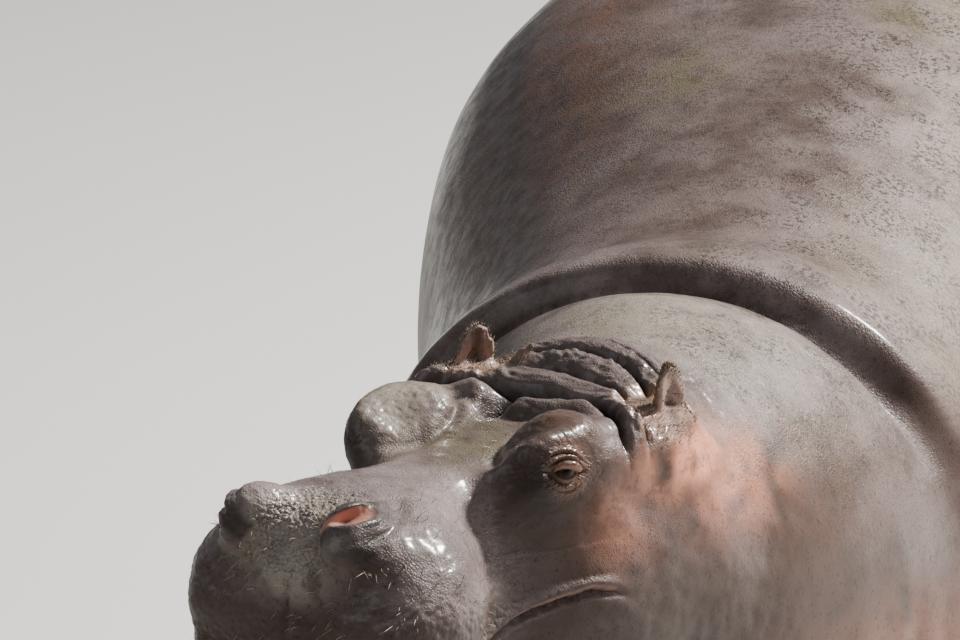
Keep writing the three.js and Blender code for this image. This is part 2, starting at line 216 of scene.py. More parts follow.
def normals_of(points, tris):
    a, b, c = (points[tris[:, i]] for i in range(3))
    face = np.cross(b - a, c - a)
    corners = tris.ravel()
    spread = np.repeat(face, 3, axis=0)
    return unit(np.stack([np.bincount(corners, spread[:, i], len(points)) for i in range(3)], 1))


def edges_of(tris, count):
    """The edges once each, and each triangle's three edges as places in that list."""
    pairs = np.sort(np.concatenate([tris[:, [0, 1]], tris[:, [1, 2]], tris[:, [2, 0]]]), axis=1)
    keys, place = np.unique(pairs[:, 0] * np.int64(count) + pairs[:, 1], return_inverse=True)
    return np.stack([keys // count, keys % count], 1), place.reshape(3, -1).T


def neighbours_of(tris, count):
    """Each point's neighbours in one row, with the start and the length of each point's stretch."""
    edges, _ = edges_of(tris, count)
    both = np.concatenate([edges, edges[:, ::-1]])
    row = both[np.argsort(both[:, 0], kind="stable"), 1]
    degree = np.bincount(both[:, 0], minlength=count)
    return row, np.cumsum(degree) - degree, degree[:, None].astype(np.float32)


def relax(values, neighbours, rounds, weight=1.0, keep_size=False):
    """Smooths values over the surface. With keep_size, each pull in is followed by a push out."""
    row, start, degree = neighbours
    out = np.asarray(values, np.float32).reshape(len(degree), -1)
    weight = np.broadcast_to(np.asarray(weight, np.float32).reshape(-1, 1), degree.shape)
    for _ in range(rounds):
        for strength in (0.5, -0.52) if keep_size else (0.5,):
            mean = np.add.reduceat(out[row], start) / degree
            out = out + np.float32(strength) * weight * (mean - out)
    return out.astype(float).reshape(np.shape(values))


def refine(points, tris, wanted):
    """Halves every edge whose middle is wanted, and re-cuts the triangles that those edges touch."""
    edges, sides = edges_of(tris, len(points))
    middles = points[edges].mean(1)
    split = wanted(middles)
    number = np.cumsum(split) - 1 + len(points)
    flags, mids = split[sides], number[sides]
    amount = flags.sum(1)
    made = [tris[amount == 0]]
    whole = amount == 3
    (a, b, c), (ab, bc, ca) = tris[whole].T, mids[whole].T
    made += [np.stack(t, 1) for t in ((a, ab, ca), (ab, b, bc), (ca, bc, c), (ab, bc, ca))]
    for i in range(3):
        turned, cuts = np.roll(tris, -i, axis=1), np.roll(mids, -i, axis=1)
        one = (amount == 1) & flags[:, i]
        (a, b, c), ab = turned[one].T, cuts[one, 0]
        made += [np.stack(t, 1) for t in ((a, ab, c), (ab, b, c))]
        two = (amount == 2) & ~flags[:, i]
        (a, b, c), (bc, ca) = turned[two].T, cuts[two, 1:].T
        made += [np.stack(t, 1) for t in ((a, b, bc), (a, bc, ca), (ca, bc, c))]
    return np.concatenate([points, middles[split]]), np.concatenate(made)


def finer(points, tris, wanted):
    """The surface cut finer where wanted and rounded again, with each point's new neighbours."""
    points, tris = refine(points, tris, wanted)
    near = neighbours_of(tris, len(points))
    return relax(points, near, 3, keep_size=True), tris, near


# ---------------- the hide, grown from the flesh nodes

VOXEL = 0.0085
BAND = 3
CLOSING = 0.0025

# The left nostril's slit: its middle, how far it turns outwards to the rear, how far its opening leans
# outwards, both in radians, and its rise to the rear. The mound round it stands under the skin.
NOSTRIL = np.array([0.046, 0.080, BROW_Z + 0.031])
NOSTRIL_SPLAY = 0.24
NOSTRIL_LEAN = 0.88
NOSTRIL_PITCH = 0.02
NOSTRIL_MOUND = {"middle": (0.056, 0.077, BROW_Z - 0.006), "radii": (0.072, 0.046, 0.052), "yaw": -0.35}


def node_field(points, voxel=VOXEL, band=BAND, **polygons):
    """The distance to a closed surface on a block of voxels, with the block's lowest voxel."""
    grid = openvdb.FloatGrid.createLevelSetFromPolygons(
        points, transform=openvdb.createLinearTransform(voxel), halfWidth=band, **polygons
    )
    low, high = (np.array(corner) for corner in grid.evalActiveVoxelBoundingBox())
    dense = np.full(high - low + 1, band * voxel, np.float32)
    grid.copyToArray(dense, ijk=tuple(int(v) for v in low))
    return low, dense


def union_of(fields):
    low = np.min([corner for corner, _ in fields], axis=0) - 1
    high = np.max([corner + dense.shape for corner, dense in fields], axis=0) + 1
    whole = np.full(high - low, BAND * VOXEL, np.float32)
    for corner, dense in fields:
        part = tuple(slice(a, a + n) for a, n in zip(corner - low, dense.shape))
        whole[part] = np.minimum(whole[part], dense)
    return low, whole


def sampled(field, points, voxel=VOXEL):
    """The field's value at each point, smoothly between voxels."""
    low, dense = field
    place = np.clip(points / voxel - low, 0, np.array(dense.shape) - 1.001)
    base = place.astype(int)
    part = place - base
    total = np.zeros(len(points))
    for corner in np.ndindex(2, 2, 2):
        weight = np.prod(np.where(corner, part, 1 - part), axis=1)
        total += weight * dense[tuple((base + corner).T)]
    last = low + np.array(dense.shape) - 1
    outside = np.any((points / voxel < low) | (points / voxel > last), axis=1)
    return np.where(outside, dense.max(), total)


def surface(low, dense, level):
    grid = openvdb.FloatGrid(BAND * VOXEL)
    grid.transform = openvdb.createLinearTransform(VOXEL)
    grid.gridClass = openvdb.GridClass.LEVEL_SET
    grid.copyFromArray(dense, ijk=tuple(int(v) for v in low))
    return grid.convertToQuads(isovalue=level)


def ring_tris(rings, around):
    """The triangles between rings of points, each ring below the one before, facing outwards."""
    j = np.arange(around)
    k = (j + 1) % around
    tris = []
    for a, b in zip(range(rings - 1), range(1, rings)):
        a, b, c, d = a * around + j, a * around + k, b * around + j, b * around + k
        tris += [np.stack([a, c, b], 1), np.stack([b, c, d], 1)]
    return np.concatenate(tris)


def ball(rings, around):
    """A sphere of radius 1 about the origin, its poles on the z axis, as points and triangles."""
    turn = np.arange(around) * 2 * math.pi / around
    tilt = np.arange(1, rings) * math.pi / rings
    level = np.outer(np.cos(tilt), np.ones(around))
    grid = np.stack([np.outer(np.sin(tilt), wave(turn)) for wave in (np.cos, np.sin)] + [level], 2)
    grid = grid.reshape(-1, 3)
    points = np.concatenate([grid, [[0, 0, 1], [0, 0, -1]]])
    top, foot = len(grid), len(grid) + 1
    j = np.arange(around)
    k = (j + 1) % around
    last = (rings - 2) * around
    over = np.stack([np.full(around, top), j, k], 1)
    under = np.stack([last + k, last + j, np.full(around, foot)], 1)
    return points, np.concatenate([over, ring_tris(rings - 1, around), under])


def nostril_filling(side):
    """The mound round a nostril as a whole ball, so that the hide starts without the slit."""
    points, tris = ball(16, 24)
    points = points * NOSTRIL_MOUND["radii"]
    cos, sin = math.cos(NOSTRIL_MOUND["yaw"]), math.sin(NOSTRIL_MOUND["yaw"])
    s, b, z = points.T
    turned = np.stack([s * cos - b * sin, s * sin + b * cos, z], 1) + NOSTRIL_MOUND["middle"]
    if side > 0:
        tris = tris[:, ::-1]
    points = from_spine(turned * (1, side, 1)).astype(np.float32)
    return node_field(points, triangles=tris.astype(np.uint32))


def grown_hide():
    """One closed surface round all the flesh, its thin cuts healed, and the fields of both jaws."""
    fields = {}
    for name in FLESH + ["eye_left", "eye_right"]:
        points, tris = triangles_of(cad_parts[name])
        fields[name] = node_field(points, triangles=tris.astype(np.uint32))
    for name, side in SIDES.items():
        fields[f"nostril_{name}"] = nostril_filling(side)
    points, quads = surface(*union_of(list(fields.values())), CLOSING)
    points, quads = surface(*node_field(points, quads=quads), -CLOSING)
    tris = np.concatenate([quads[:, [0, 1, 2]], quads[:, [0, 2, 3]]]).astype(np.int64)
    a, b, c = (points[tris[:, i]].astype(float) for i in range(3))
    if np.einsum("ij,ij->", a, np.cross(b, c)) < 0:
        tris = tris[:, ::-1].copy()
    return points.astype(float), tris, fields["head"], fields["lower_jaw"]


# ---------------- smoothing and finer triangles

# The soles keep this much off the floor.
SOLE_Z = 0.0005
# The share of the trunk's smoothing that the other parts are spared.
SMOOTHING_SPARED = {"head": 0.88, "fold": 0.9, "legs": 0.85, "tail": 0.9}
KNEE_HEIGHT = 0.44
BODY_SMOOTHING = 64
EAR_MIDDLES = [middle_of(name) for name in EARS]


def near_ears(spine, reach):
    """1 at an ear, falling to 0 at reach from its middle."""
    far = np.min([np.linalg.norm(spine - ear, axis=1) for ear in EAR_MIDDLES], axis=0)
    return 1 - smoothstep(reach * 0.75, reach, far)


def smooth_weights(points):
    """What share of the trunk's smoothing each point takes."""
    spine = to_spine(points)
    s, b, z = spine.T
    head = 1 - smoothstep(0.80, 0.95, s)
    fold = bell(s - NECK_END + 0.010, 0.024)
    legs = (1 - smoothstep(KNEE_HEIGHT, KNEE_HEIGHT + 0.12, z)) * (s > 1.2)
    tail_low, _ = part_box("tail")
    tail = smoothstep(tail_low.y, tail_low.y + 0.05, points[:, 1]) * (np.abs(b) < 0.08)
    parts = {"head": head, "fold": fold, "legs": legs, "tail": tail}
    spared = [SMOOTHING_SPARED[name] * part for name, part in parts.items()]
    return 1 - np.maximum.reduce([*spared, near_ears(spine, 0.11)])


# How far each ear's hollow is turned outwards from straight ahead, in radians.
EAR_FACING = {"left": 1.5, "right": -1.1}
EAR_VOXEL = 0.002
EAR_BAND = 9
EAR_ROOT_SHARE = 0.35


def ear_axes(name):
    """The way an ear's hollow faces, and the way across it, in the frame."""
    turn, side = EAR_FACING[name], SIDES[name]
    facing = across((-math.cos(turn), side * math.sin(turn), 0.0))
    return facing, across((math.sin(turn), side * math.cos(turn), 0.0))


def fitted_ears(points):
    """Draws the hide in close to each ear's own leaf and hollow, above the ear's root."""
    for name in SIDES:
        node = f"ear_{name}"
        shape, tris = triangles_of(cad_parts[node])
        field = node_field(shape, EAR_VOXEL, EAR_BAND, triangles=tris.astype(np.uint32))
        low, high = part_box(node)
        root = low.z + EAR_ROOT_SHARE * (high.z - low.z)
        reach = EAR_VOXEL * (EAR_BAND - 1)
        for _ in range(3):
            far = sampled(field, points, EAR_VOXEL)
            near = (far < reach) & (points[:, 2] > root - 0.02)
            here = points[near]
            steps = np.concatenate([np.eye(3), -np.eye(3)]) * EAR_VOXEL
            around = [sampled(field, here + step, EAR_VOXEL) for step in steps]
            slope = unit(np.stack([ahead - behind for ahead, behind in zip(around[:3], around[3:])], 1))
            share = smoothstep(root - 0.02, root + 0.015, here[:, 2])
            points[near] -= slope * (far[near] * share)[:, None]
    return points


def eye_distance(spine):
    return np.linalg.norm(spine * (1, 0, 1) + np.abs(spine) * (0, 1, 0) - (EYE_S, EYE_B, EYE_Z), axis=1)


def wants_4mm(points):
    s, _, z = to_spine(points).T
    feet = (z < 0.20) & (s > 1.2)
    return (s < 0.86) | ((s < 1.36) & (z > 0.98)) | feet


def wants_2mm(points):
    spine = to_spine(points)
    s, b, z = spine.T
    top = z > BROW_Z - 0.06
    face = top & (s < 0.80) & ((s > 0.53) | (s < 0.14))
    turret = top & (s > 0.34) & (s < 0.6) & (np.abs(b) > 0.03)
    lips = (s < 0.5) & (np.abs(z - BROW_Z + 0.21) < 0.05)
    ears = near_ears(spine, 0.10) > 0
    return face | turret | lips | ears


def wants_1mm(points):
    return eye_distance(to_spine(points)) < 0.048


def prepared_hide():
    points, tris, head, jaw = grown_hide()
    near = neighbours_of(tris, len(points))
    points = relax(points, near, BODY_SMOOTHING, smooth_weights(points))
    points = relax(points, near, 2)
    for wanted in (wants_4mm, wants_2mm, wants_1mm):
        points, tris, near = finer(points, tris, wanted)
    points = fitted_ears(points)
    points = relax(points, near, 6, near_ears(to_spine(points), 0.11), keep_size=True)
    return points, tris, near, head, jaw


# ---------------- sculpting the hide

def pushed(points, tris, height):
    """The points moved out along the surface's normals by height, in metres."""
    return points + normals_of(points, tris) * height[:, None]


# The creases across the forehead: where each crosses the middle, where it ends by the ears, its depth,
# and how far the fold of skin behind it stands up.
CREASES = [
    (0.628, 0.566, 0.017, 0.017),
    (0.694, 0.618, 0.017, 0.014),
    (0.756, 0.662, 0.016, 0.012),
    (0.808, 0.690, 0.012, 0.007),
    (0.848, 0.712, 0.005, 0.000),
]
CREASE_WIDTH = 0.0075
CROWN = {"s": 0.775, "height": 0.026, "long": 0.080, "wide": 0.13}
BIG_KNOBS = np.array([0.021, 0.034, 0.024])
SMALL_KNOBS = np.array([0.009, 0.015, 0.012])
CREASE_SPAN = 0.19


def crease_lines(b, points):
    share = np.clip(np.abs(b) / CREASE_SPAN, 0, 1.25) ** 2.1
    lines = []
    for k, (middle, end, _, _) in enumerate(CREASES):
        wander = noise(points, 0.055, 100 + k) * (0.003 + 0.0025 * k)
        wander += noise(points, 0.022, 110 + k) * 0.002
        lines.append(middle + (end - middle) * share + wander)
    return lines


def crease_reach(b):
    """1 over the middle of the forehead, falling to 0 just past the creases' ends."""
    return 1 - smoothstep(CREASE_SPAN * 0.86, CREASE_SPAN * 1.16, np.abs(b))


def forehead(spine, points):
    """Deep folds across the forehead that draw together in front of each ear."""
    s, b, z = spine.T
    lines = crease_lines(b, points)
    on_top = smoothstep(BROW_Z - 0.025, BROW_Z + 0.020, z)
    reach = on_top * crease_reach(b)
    height = CROWN["height"] * bell(s - CROWN["s"], CROWN["long"]) * bell(b, CROWN["wide"])
    for k, (_, _, depth, rise) in enumerate(CREASES):
        broken = 1 - 0.28 * k * smoothstep(0.0, 0.8, noise(points, 0.06, 120 + k))
        height -= depth * broken * bell(s - lines[k], CREASE_WIDTH)
        if k + 1 < len(CREASES):
            u = np.clip((s - lines[k]) / (lines[k + 1] - lines[k]), 0, 1)
            height += rise * (4 * u * (1 - u)) ** 0.7
    bent = spine + 0.008 * noise(points, 0.03, 9)[:, None]
    big = pebbles(bent, BIG_KNOBS, 11, 0.9)
    big *= smoothstep(-0.5, 0.5, noise(points, 0.05, 13))
    small = pebbles(bent, SMALL_KNOBS, 14, 0.8)
    knobby = smoothstep(0, 0.02, s - lines[1]) * (1 - smoothstep(-0.01, 0.03, s - lines[4]))
    knobby = np.maximum(knobby, 0.35 * smoothstep(0.04, 0.14, b) * smoothstep(0, 0.02, s - lines[0]))
    bent = spine + 0.01 * noise(points, 0.05, 9)[:, None]
    lengthwise = noise(bent, np.array([0.006, 0.055, 0.02]), 12)
    lengthwise *= smoothstep(-0.01, 0.01, s - lines[0]) * smoothstep(-0.02, 0.015, z - BROW_Z)
    height += (0.0060 * big + 0.0022 * small - 0.0022) * knobby
    height += 0.0018 * lengthwise * (1 - 0.5 * knobby)
    return height * reach


# The roll of skin behind the turrets, the step round each turret and the pit between the roll's halves.
ROLL = {"s": 0.569, "slant": 0.28, "height": 0.017, "width": 0.021, "between": -0.036}
TURRET = {"s": 0.458, "b": 0.130, "long": 0.098, "wide": 0.070, "yaw": math.radians(20)}
TURRET_STEP = {"rear": 0.014, "rear_width": 0.0085, "front": 0.005, "front_width": 0.012}
TURRET_SWELL = 0.006
PIT = {"s": 0.574, "depth": 0.036, "long": 0.036, "wide": 0.019}


def turrets(spine, points):
    """The step along each eye turret's inner side, the rolled fold behind it and the pit between."""
    s, b, z = spine.T
    out = np.abs(b)
    on_top = smoothstep(BROW_Z - 0.03, BROW_Z + 0.01, z)
    ds, db = s - TURRET["s"], out - TURRET["b"]
    cos, sin = math.cos(TURRET["yaw"]), math.sin(TURRET["yaw"])
    along, across_it = (ds * cos - db * sin) / TURRET["long"], (ds * sin + db * cos) / TURRET["wide"]
    beyond = (np.hypot(along, across_it) - 1) * 0.085
    inner = 1 - smoothstep(-0.1, 0.9, across_it)
    rear = inner * smoothstep(0.1, 0.8, along)
    front = inner * smoothstep(-1.1, -0.4, along) * (1 - smoothstep(0.1, 0.8, along))
    height = -TURRET_STEP["rear"] * bell(beyond, TURRET_STEP["rear_width"]) * rear
    height -= TURRET_STEP["front"] * bell(beyond - 0.004, TURRET_STEP["front_width"]) * front
    away = np.abs(b - ROLL["between"])
    line = ROLL["s"] + ROLL["slant"] * out + 0.003 * noise(points, 0.05, 16)
    end = np.sin(np.clip((away - 0.016) / 0.034, 0, 1) * math.pi / 2)
    length = end * (1 - smoothstep(0.09, 0.15, out))
    height += ROLL["height"] * bell(s - line, ROLL["width"]) * length
    height -= 0.006 * bell(s - line + 0.032, 0.010) * length
    height += TURRET_SWELL * smoothstep(0.010, -0.030, beyond)
    height -= PIT["depth"] * bell(s - PIT["s"], PIT["long"]) * bell(b - ROLL["between"], PIT["wide"])
    creases = noise(spine, np.array([0.007, 0.050, 0.02]), 17)
    height += 0.0012 * creases * bell(s - line, 0.024) * length
    fine = noise(spine, np.array([0.012, 0.004, 0.012]), 15)
    height += 0.0007 * fine * (bell(beyond - 0.020, 0.012) + smoothstep(0.0, -0.02, beyond)) * inner
    return height * on_top




# The wrinkles round an ear's root: how high, how many round it and where they start.
EAR_WAVES = [(0.0016, 17, 0), (0.0012, 31, 1)]


def ear_wrinkles(spine, points):
    """Wrinkles that run together at the root of each ear."""
    height = np.zeros(len(spine))
    for ear in EAR_MIDDLES:
        ds, db = spine[:, 0] - ear[0], spine[:, 1] - ear[1]
        far = np.hypot(ds, db)
        angle = np.arctan2(db, ds) + 0.25 * noise(points, 0.04, 91)
        ring = plateau(far, 0.020, 0.045, 0.075, 0.120)
        level = spine[:, 2] - (ear[2] - 0.035)
        band = plateau(level, -0.035, 0.0, 0.020, 0.045) * smoothstep(0.03, -0.02, ds)
        waves = sum(rise * np.cos(angle * count + start) for rise, count, start in EAR_WAVES)
        height += waves * ring * band
    return height


MOUTH_CORNER = 0.47
LIP_CUT = {"depth": 0.011, "width": 0.006}
LIP_RISE = {"lower": 0.001, "more_above": 0.005, "from_cut": 0.013, "width": 0.009}


def mouth(spine, points, head, jaw):
    """The line between the lips, with the upper lip standing proud of the lower one."""
    s = spine[:, 0]
    over, under = sampled(head, points), sampled(jaw, points)
    far = np.maximum(over, under)
    ahead = 1 - smoothstep(MOUTH_CORNER, MOUTH_CORNER + 0.06, s)
    upper = smoothstep(-0.004, 0.004, under - over)
    height = -LIP_CUT["depth"] * bell(far, LIP_CUT["width"])
    rise = LIP_RISE["more_above"] * upper + LIP_RISE["lower"]
    height += rise * bell(far - LIP_RISE["from_cut"], LIP_RISE["width"])
    return height * ahead


COBBLES = 0.0072
RIGHT_MOUND = {"height": 0.008, "middle": (0.050, -0.092, BROW_Z + 0.045), "radii": (0.050, 0.034, 0.045)}
LIP_GROOVE = {"depth": 0.006, "width": 0.008}


def snout(spine, points):
    """Cobbled skin between the nostrils, the groove down the front of the lip and uneven pads."""
    s, b, z = spine.T
    top = smoothstep(BROW_Z - 0.09, BROW_Z - 0.03, z)
    between = (1 - smoothstep(0.035, 0.075, np.abs(b))) * (1 - smoothstep(0.12, 0.19, s)) * top
    height = 0.0026 * (pebbles(points, COBBLES, 21) - 0.6) * between
    height += RIGHT_MOUND["height"] * blob(spine, RIGHT_MOUND["middle"], RIGHT_MOUND["radii"])
    front = (1 - smoothstep(0.0, 0.05, s)) * smoothstep(1.03, 1.10, z) * (1 - top)
    height -= LIP_GROOVE["depth"] * bell(b, LIP_GROOVE["width"]) * front
    muzzle = 1 - smoothstep(0.30, 0.42, s)
    height += muzzle * (0.0016 * noise(points, 0.045, 22) + 0.0009 * noise(points, 0.018, 23))
    pads = muzzle * (1 - top)
    height += 0.0012 * (pebbles(points, 0.012, 24) - 0.5) * pads
    return height


NECK_GROOVE = {"s": 1.248, "depth": 0.024, "width": 0.018}
NECK_ROLL = {"s": 1.300, "height": 0.013, "width": 0.022}
THROAT_FOLD_STEP = 0.085


def neck(spine, points):
    """The groove in front of the big roll of skin, throat folds and the creases beside the neck."""
    s, _, z = spine.T
    above = smoothstep(0.98, 1.18, z)
    height = NECK_ROLL["height"] * bell(s - NECK_ROLL["s"], NECK_ROLL["width"]) * above
    height -= NECK_GROOVE["depth"] * bell(s - NECK_GROOVE["s"], NECK_GROOVE["width"]) * above
    wander = 0.03 * noise(points, 0.20, 31)
    throat = 1 - smoothstep(0.74, 0.92, z)
    folds = np.cos((s + wander) * 2 * math.pi / THROAT_FOLD_STEP)
    uneven = 0.5 + 0.5 * noise(points, 0.18, 33)
    height += 0.0025 * folds * uneven * throat * plateau(s, 0.74, 0.84, 1.2, 1.3)
    side = plateau(s, 0.86, 0.96, 1.14, 1.22) * (1 - 0.6 * above)
    ripples = noise(spine + wander[:, None], np.array([0.06, 0.14, 0.16]), 32)
    height += 0.0008 * ripples * side
    return height


SHOULDER_FOLD_STEP = 0.07
LEG_CREASES = [(0.115, 0.005), (0.18, 0.003), (0.40, 0.003), (0.455, 0.004)]
LEG_MIDDLES = [middle_of(f"{end}_leg_left")[:2] for end in ("fore", "hind")]


def trunk_and_legs(spine, points):
    """Loose skin: upright ripples on the flanks, rings round the legs, creases over the toes."""
    s, b, z = spine.T
    body = smoothstep(1.36, 1.46, s) * smoothstep(0.34, 0.5, z)
    slow = noise(points, 0.22, 41)
    ripples = noise(spine + 0.05 * slow[:, None], np.array([0.12, 0.22, 0.20]), 42)
    flank = body * (1 - 0.75 * smoothstep(1.15, 1.35, z)) * (0.5 + 0.5 * slow)
    height = flank * 0.0016 * ripples + body * 0.0040 * slow
    shoulder = bell(s - 1.50, 0.13) + bell(s - 3.0, 0.20)
    folds = np.cos((s + 0.08 * slow) * 2 * math.pi / SHOULDER_FOLD_STEP)
    height += 0.0022 * folds * shoulder * bell(z - 0.62, 0.14)
    from_leg = np.min([np.hypot(s - leg_s, np.abs(b) - leg_b) for leg_s, leg_b in LEG_MIDDLES], axis=0)
    leg = (1 - smoothstep(0.42, 0.52, z)) * (1 - smoothstep(0.18, 0.22, from_leg))
    wander = 0.03 * noise(points, 0.13, 44)
    rings = noise(points + wander[:, None], np.array([0.10, 0.10, 0.026]), 43)
    height += leg * 0.0030 * rings * smoothstep(0.05, 0.12, z)
    for level, depth in LEG_CREASES:
        broken = smoothstep(-0.7, 0.3, noise(points, 0.09, 45))
        height -= leg * depth * broken * bell(z - level - wander, 0.008)
    return height


def creased_hide(spine, points):
    """Fine uneven skin all over, finest on the head."""
    s = spine[:, 0]
    head = 1 - smoothstep(0.8, 1.0, s)
    upper = smoothstep(BROW_Z - 0.09, BROW_Z - 0.05, spine[:, 2])
    height = (0.0003 + 0.0006 * head) * noise(points, 0.034, 51)
    height += 0.0007 * head * noise(points, 0.018, 52)
    top = smoothstep(BROW_Z + 0.01, BROW_Z + 0.04, spine[:, 2])
    height += 0.0008 * head * top * noise(spine, np.array([0.006, 0.012, 0.010]), 53)
    height += 0.0005 * head * (upper - top) * noise(spine, np.array([0.016, 0.012, 0.007]), 54)
    return height


# ---------------- nostrils

def nostril_axes():
    """The slit's long way, its width and its depth, for the left side, as (s, b, z)."""
    cos, sin = math.cos(NOSTRIL_SPLAY), math.sin(NOSTRIL_SPLAY)
    turn = np.array([[cos, -sin, 0], [sin, cos, 0], [0, 0, 1]])
    up, out = math.cos(NOSTRIL_LEAN), math.sin(NOSTRIL_LEAN)
    return turn @ (1, 0, NOSTRIL_PITCH), turn @ (0, up, -out), turn @ (0, out, up)


# Half the slit's length and width, and how much narrower and further out the right one is: the camera
# doesn't see it.
NOSTRIL_HALF = (0.043, 0.0145)
NOSTRIL_DEPTH = 0.030
RIGHT_NOSTRIL = {"width": 0.6, "shift": 0.030}


def nostril_shape(spine):
    """For each point: how far it is outside a nostril's rim, in slit half widths, and its side."""
    side = np.where(spine[:, 1] > 0, 1, -1)
    mirrored = spine * np.stack([np.ones(len(side)), side, np.ones(len(side))], 1) - NOSTRIL
    along, wide, deep = nostril_axes()
    u, v, w = mirrored @ along, mirrored @ wide, mirrored @ deep
    v = v - 0.005 * (1 - (u / NOSTRIL_HALF[0]) ** 2) - RIGHT_NOSTRIL["shift"] * (side < 0)
    half_width = NOSTRIL_HALF[1] * np.where(side < 0, RIGHT_NOSTRIL["width"], 1)
    outside = np.hypot(u / NOSTRIL_HALF[0], v / half_width) - 1
    return np.where((w > -0.03) & (np.abs(spine[:, 1]) > 0.02), outside, 9.0), side, v


def with_nostrils(points):
    spine = to_spine(points)
    outside, side, inwards = nostril_shape(spine)
    _, _, deep = nostril_axes()
    sunk = smoothstep(0.20, -0.95, outside) * np.where(side < 0, 0.7, 1)
    lip = 0.0045 - 0.0030 * smoothstep(0, NOSTRIL_HALF[1], inwards)
    rim = bell(outside - 0.42, 0.36) * lip - bell(outside - 1.9, 0.5) * 0.0025
    mirror = np.where(side[:, None] > 0, 1, (1, -1, 1))
    return from_spine(spine + (rim - NOSTRIL_DEPTH * sunk)[:, None] * (mirror * deep))


# ---------------- eyes and their lids

GAZE_FORWARD = math.radians(30)
GAZE_UP = math.radians(2)
# The opening between the lids: half its length, its heights over and under the middle line, and how
# thick the two lids' edges are.
LID = {"half": 0.0232, "upper": 0.0064, "lower": 0.0084, "upper_edge": 0.0066, "lower_edge": 0.0036}


def gaze_of(side):
    """The directions an eye looks, to its rear corner and up, in the frame."""
    flat = math.cos(GAZE_UP)
    sin, cos = math.sin(GAZE_FORWARD), math.cos(GAZE_FORWARD)
    look = across((-sin * flat, side * cos * flat, math.sin(GAZE_UP)))
    rear = across((cos, side * sin, 0))
    rise = np.cross(look, rear)
    return look, rear, rise * np.sign(rise[2])


def lid_gap(offset, axes):
    """How far a point is outside the opening between the lids and where along it."""
    look, rear, rise = axes
    x, y = offset @ rear, offset @ rise
    tilt = y + 0.16 * x
    open_share = np.clip(1 - (x / LID["half"]) ** 2, -2.5, 1)
    gap = np.maximum(tilt - LID["upper"] * open_share, -tilt - LID["lower"] * open_share)
    return np.where(offset @ look > 0, gap, 0.05), tilt, x / LID["half"]


# The folds over and under the lids: how far each is from the opening, its rise and its width.
BROW_FOLDS = [
    (0.0055, 0.0030, 0.0045),
    (0.0118, -0.0036, 0.0018),
    (0.0165, 0.0026, 0.0034),
    (0.0215, -0.0030, 0.0019),
    (0.0262, 0.0018, 0.0036),
]
BAG_FOLDS = [(0.0095, -0.0020, 0.0020), (0.0140, 0.0012, 0.0035), (0.0200, -0.0015, 0.0022)]


def folded(gap, folds):
    return sum(rise * bell(gap - place, width) for place, rise, width in folds)


def with_lids(points, tris):
    """Opens the hide over each eyeball, with a thick wrinkled upper lid and brow folds over it."""
    height = np.zeros(len(points))
    for name, side in SIDES.items():
        middle = box_middle(f"eye_{name}")
        axes = gaze_of(side)
        offset = points - middle
        far = np.linalg.norm(offset, axis=1)
        near = (far < 0.090) & (offset @ axes[0] > -0.02)
        offset, r = offset[near], far[near]
        gap, tilt, x = lid_gap(offset, axes)
        upper = smoothstep(-0.002, 0.002, tilt)
        edge = LID["lower_edge"] + (LID["upper_edge"] - LID["lower_edge"]) * upper
        lid = np.where(
            gap < 0,
            EYE_RADIUS - 0.0035 * smoothstep(0, -0.003, gap),
            EYE_RADIUS + edge * np.sqrt(smoothstep(0, 0.0035, gap)),
        )
        natural = np.maximum(r, EYE_RADIUS + edge)
        new = lid + (natural - lid) * smoothstep(0.005, 0.018, gap)
        points[near] = middle + offset / r[:, None] * new[:, None]
        arch = 1 - smoothstep(0.9, 1.7, np.abs(x))
        wrinkles = noise(offset, np.array([0.0035, 0.0035, 0.0022]), 55) * 0.0006
        height[near] += (folded(gap, BROW_FOLDS) * upper + folded(gap, BAG_FOLDS) * (1 - upper)) * arch
        height[near] += wrinkles * smoothstep(0.001, 0.006, gap) * (1 - smoothstep(0.030, 0.045, gap))
    return pushed(points, tris, height)


def total_height(points, features):
    """The sum of the features' heights, each worked out only where its own region says."""
    spine = to_spine(points)
    bare = 1 - near_ears(spine, 0.085)
    height = np.zeros(len(points))
    for feature, inside, *more in features:
        here = inside(spine)
        height[here] += feature(spine[here], points[here], *more) * bare[here]
    return height


def region(s=(-9, 9), z=(-9, 9)):
    """A test for places between two values of s and between two heights."""

    def inside(spine):
        return np.all((spine > (s[0], -9, z[0])) & (spine < (s[1], 9, z[1])), axis=1)

    return inside


def sculpted_hide():
    points, tris, near, head, jaw = prepared_hide()
    forms = [
        (forehead, region(s=(0.5, 0.88), z=(BROW_Z - 0.06, 9))),
        (turrets, region(s=(0.28, 0.66), z=(BROW_Z - 0.05, 9))),
        (mouth, region(s=(-9, 0.55), z=(-9, BROW_Z - 0.10)), head, jaw),
        (neck, region(s=(0.72, 1.36))),
    ]
    points = pushed(points, tris, total_height(points, forms))
    points = pushed(points, tris, ear_wrinkles(to_spine(points), points))
    points = with_lids(with_nostrils(points), tris)
    details = [(snout, region(s=(-9, 0.45))), (trunk_and_legs, region(s=(1.22, 9)))]
    points = pushed(points, tris, total_height(points, details))
    points = pushed(points, tris, total_height(points, [(creased_hide, region())]))
    points[:, 2] = np.maximum(points[:, 2], SOLE_Z)
    return points, tris, near


# ---------------- making objects

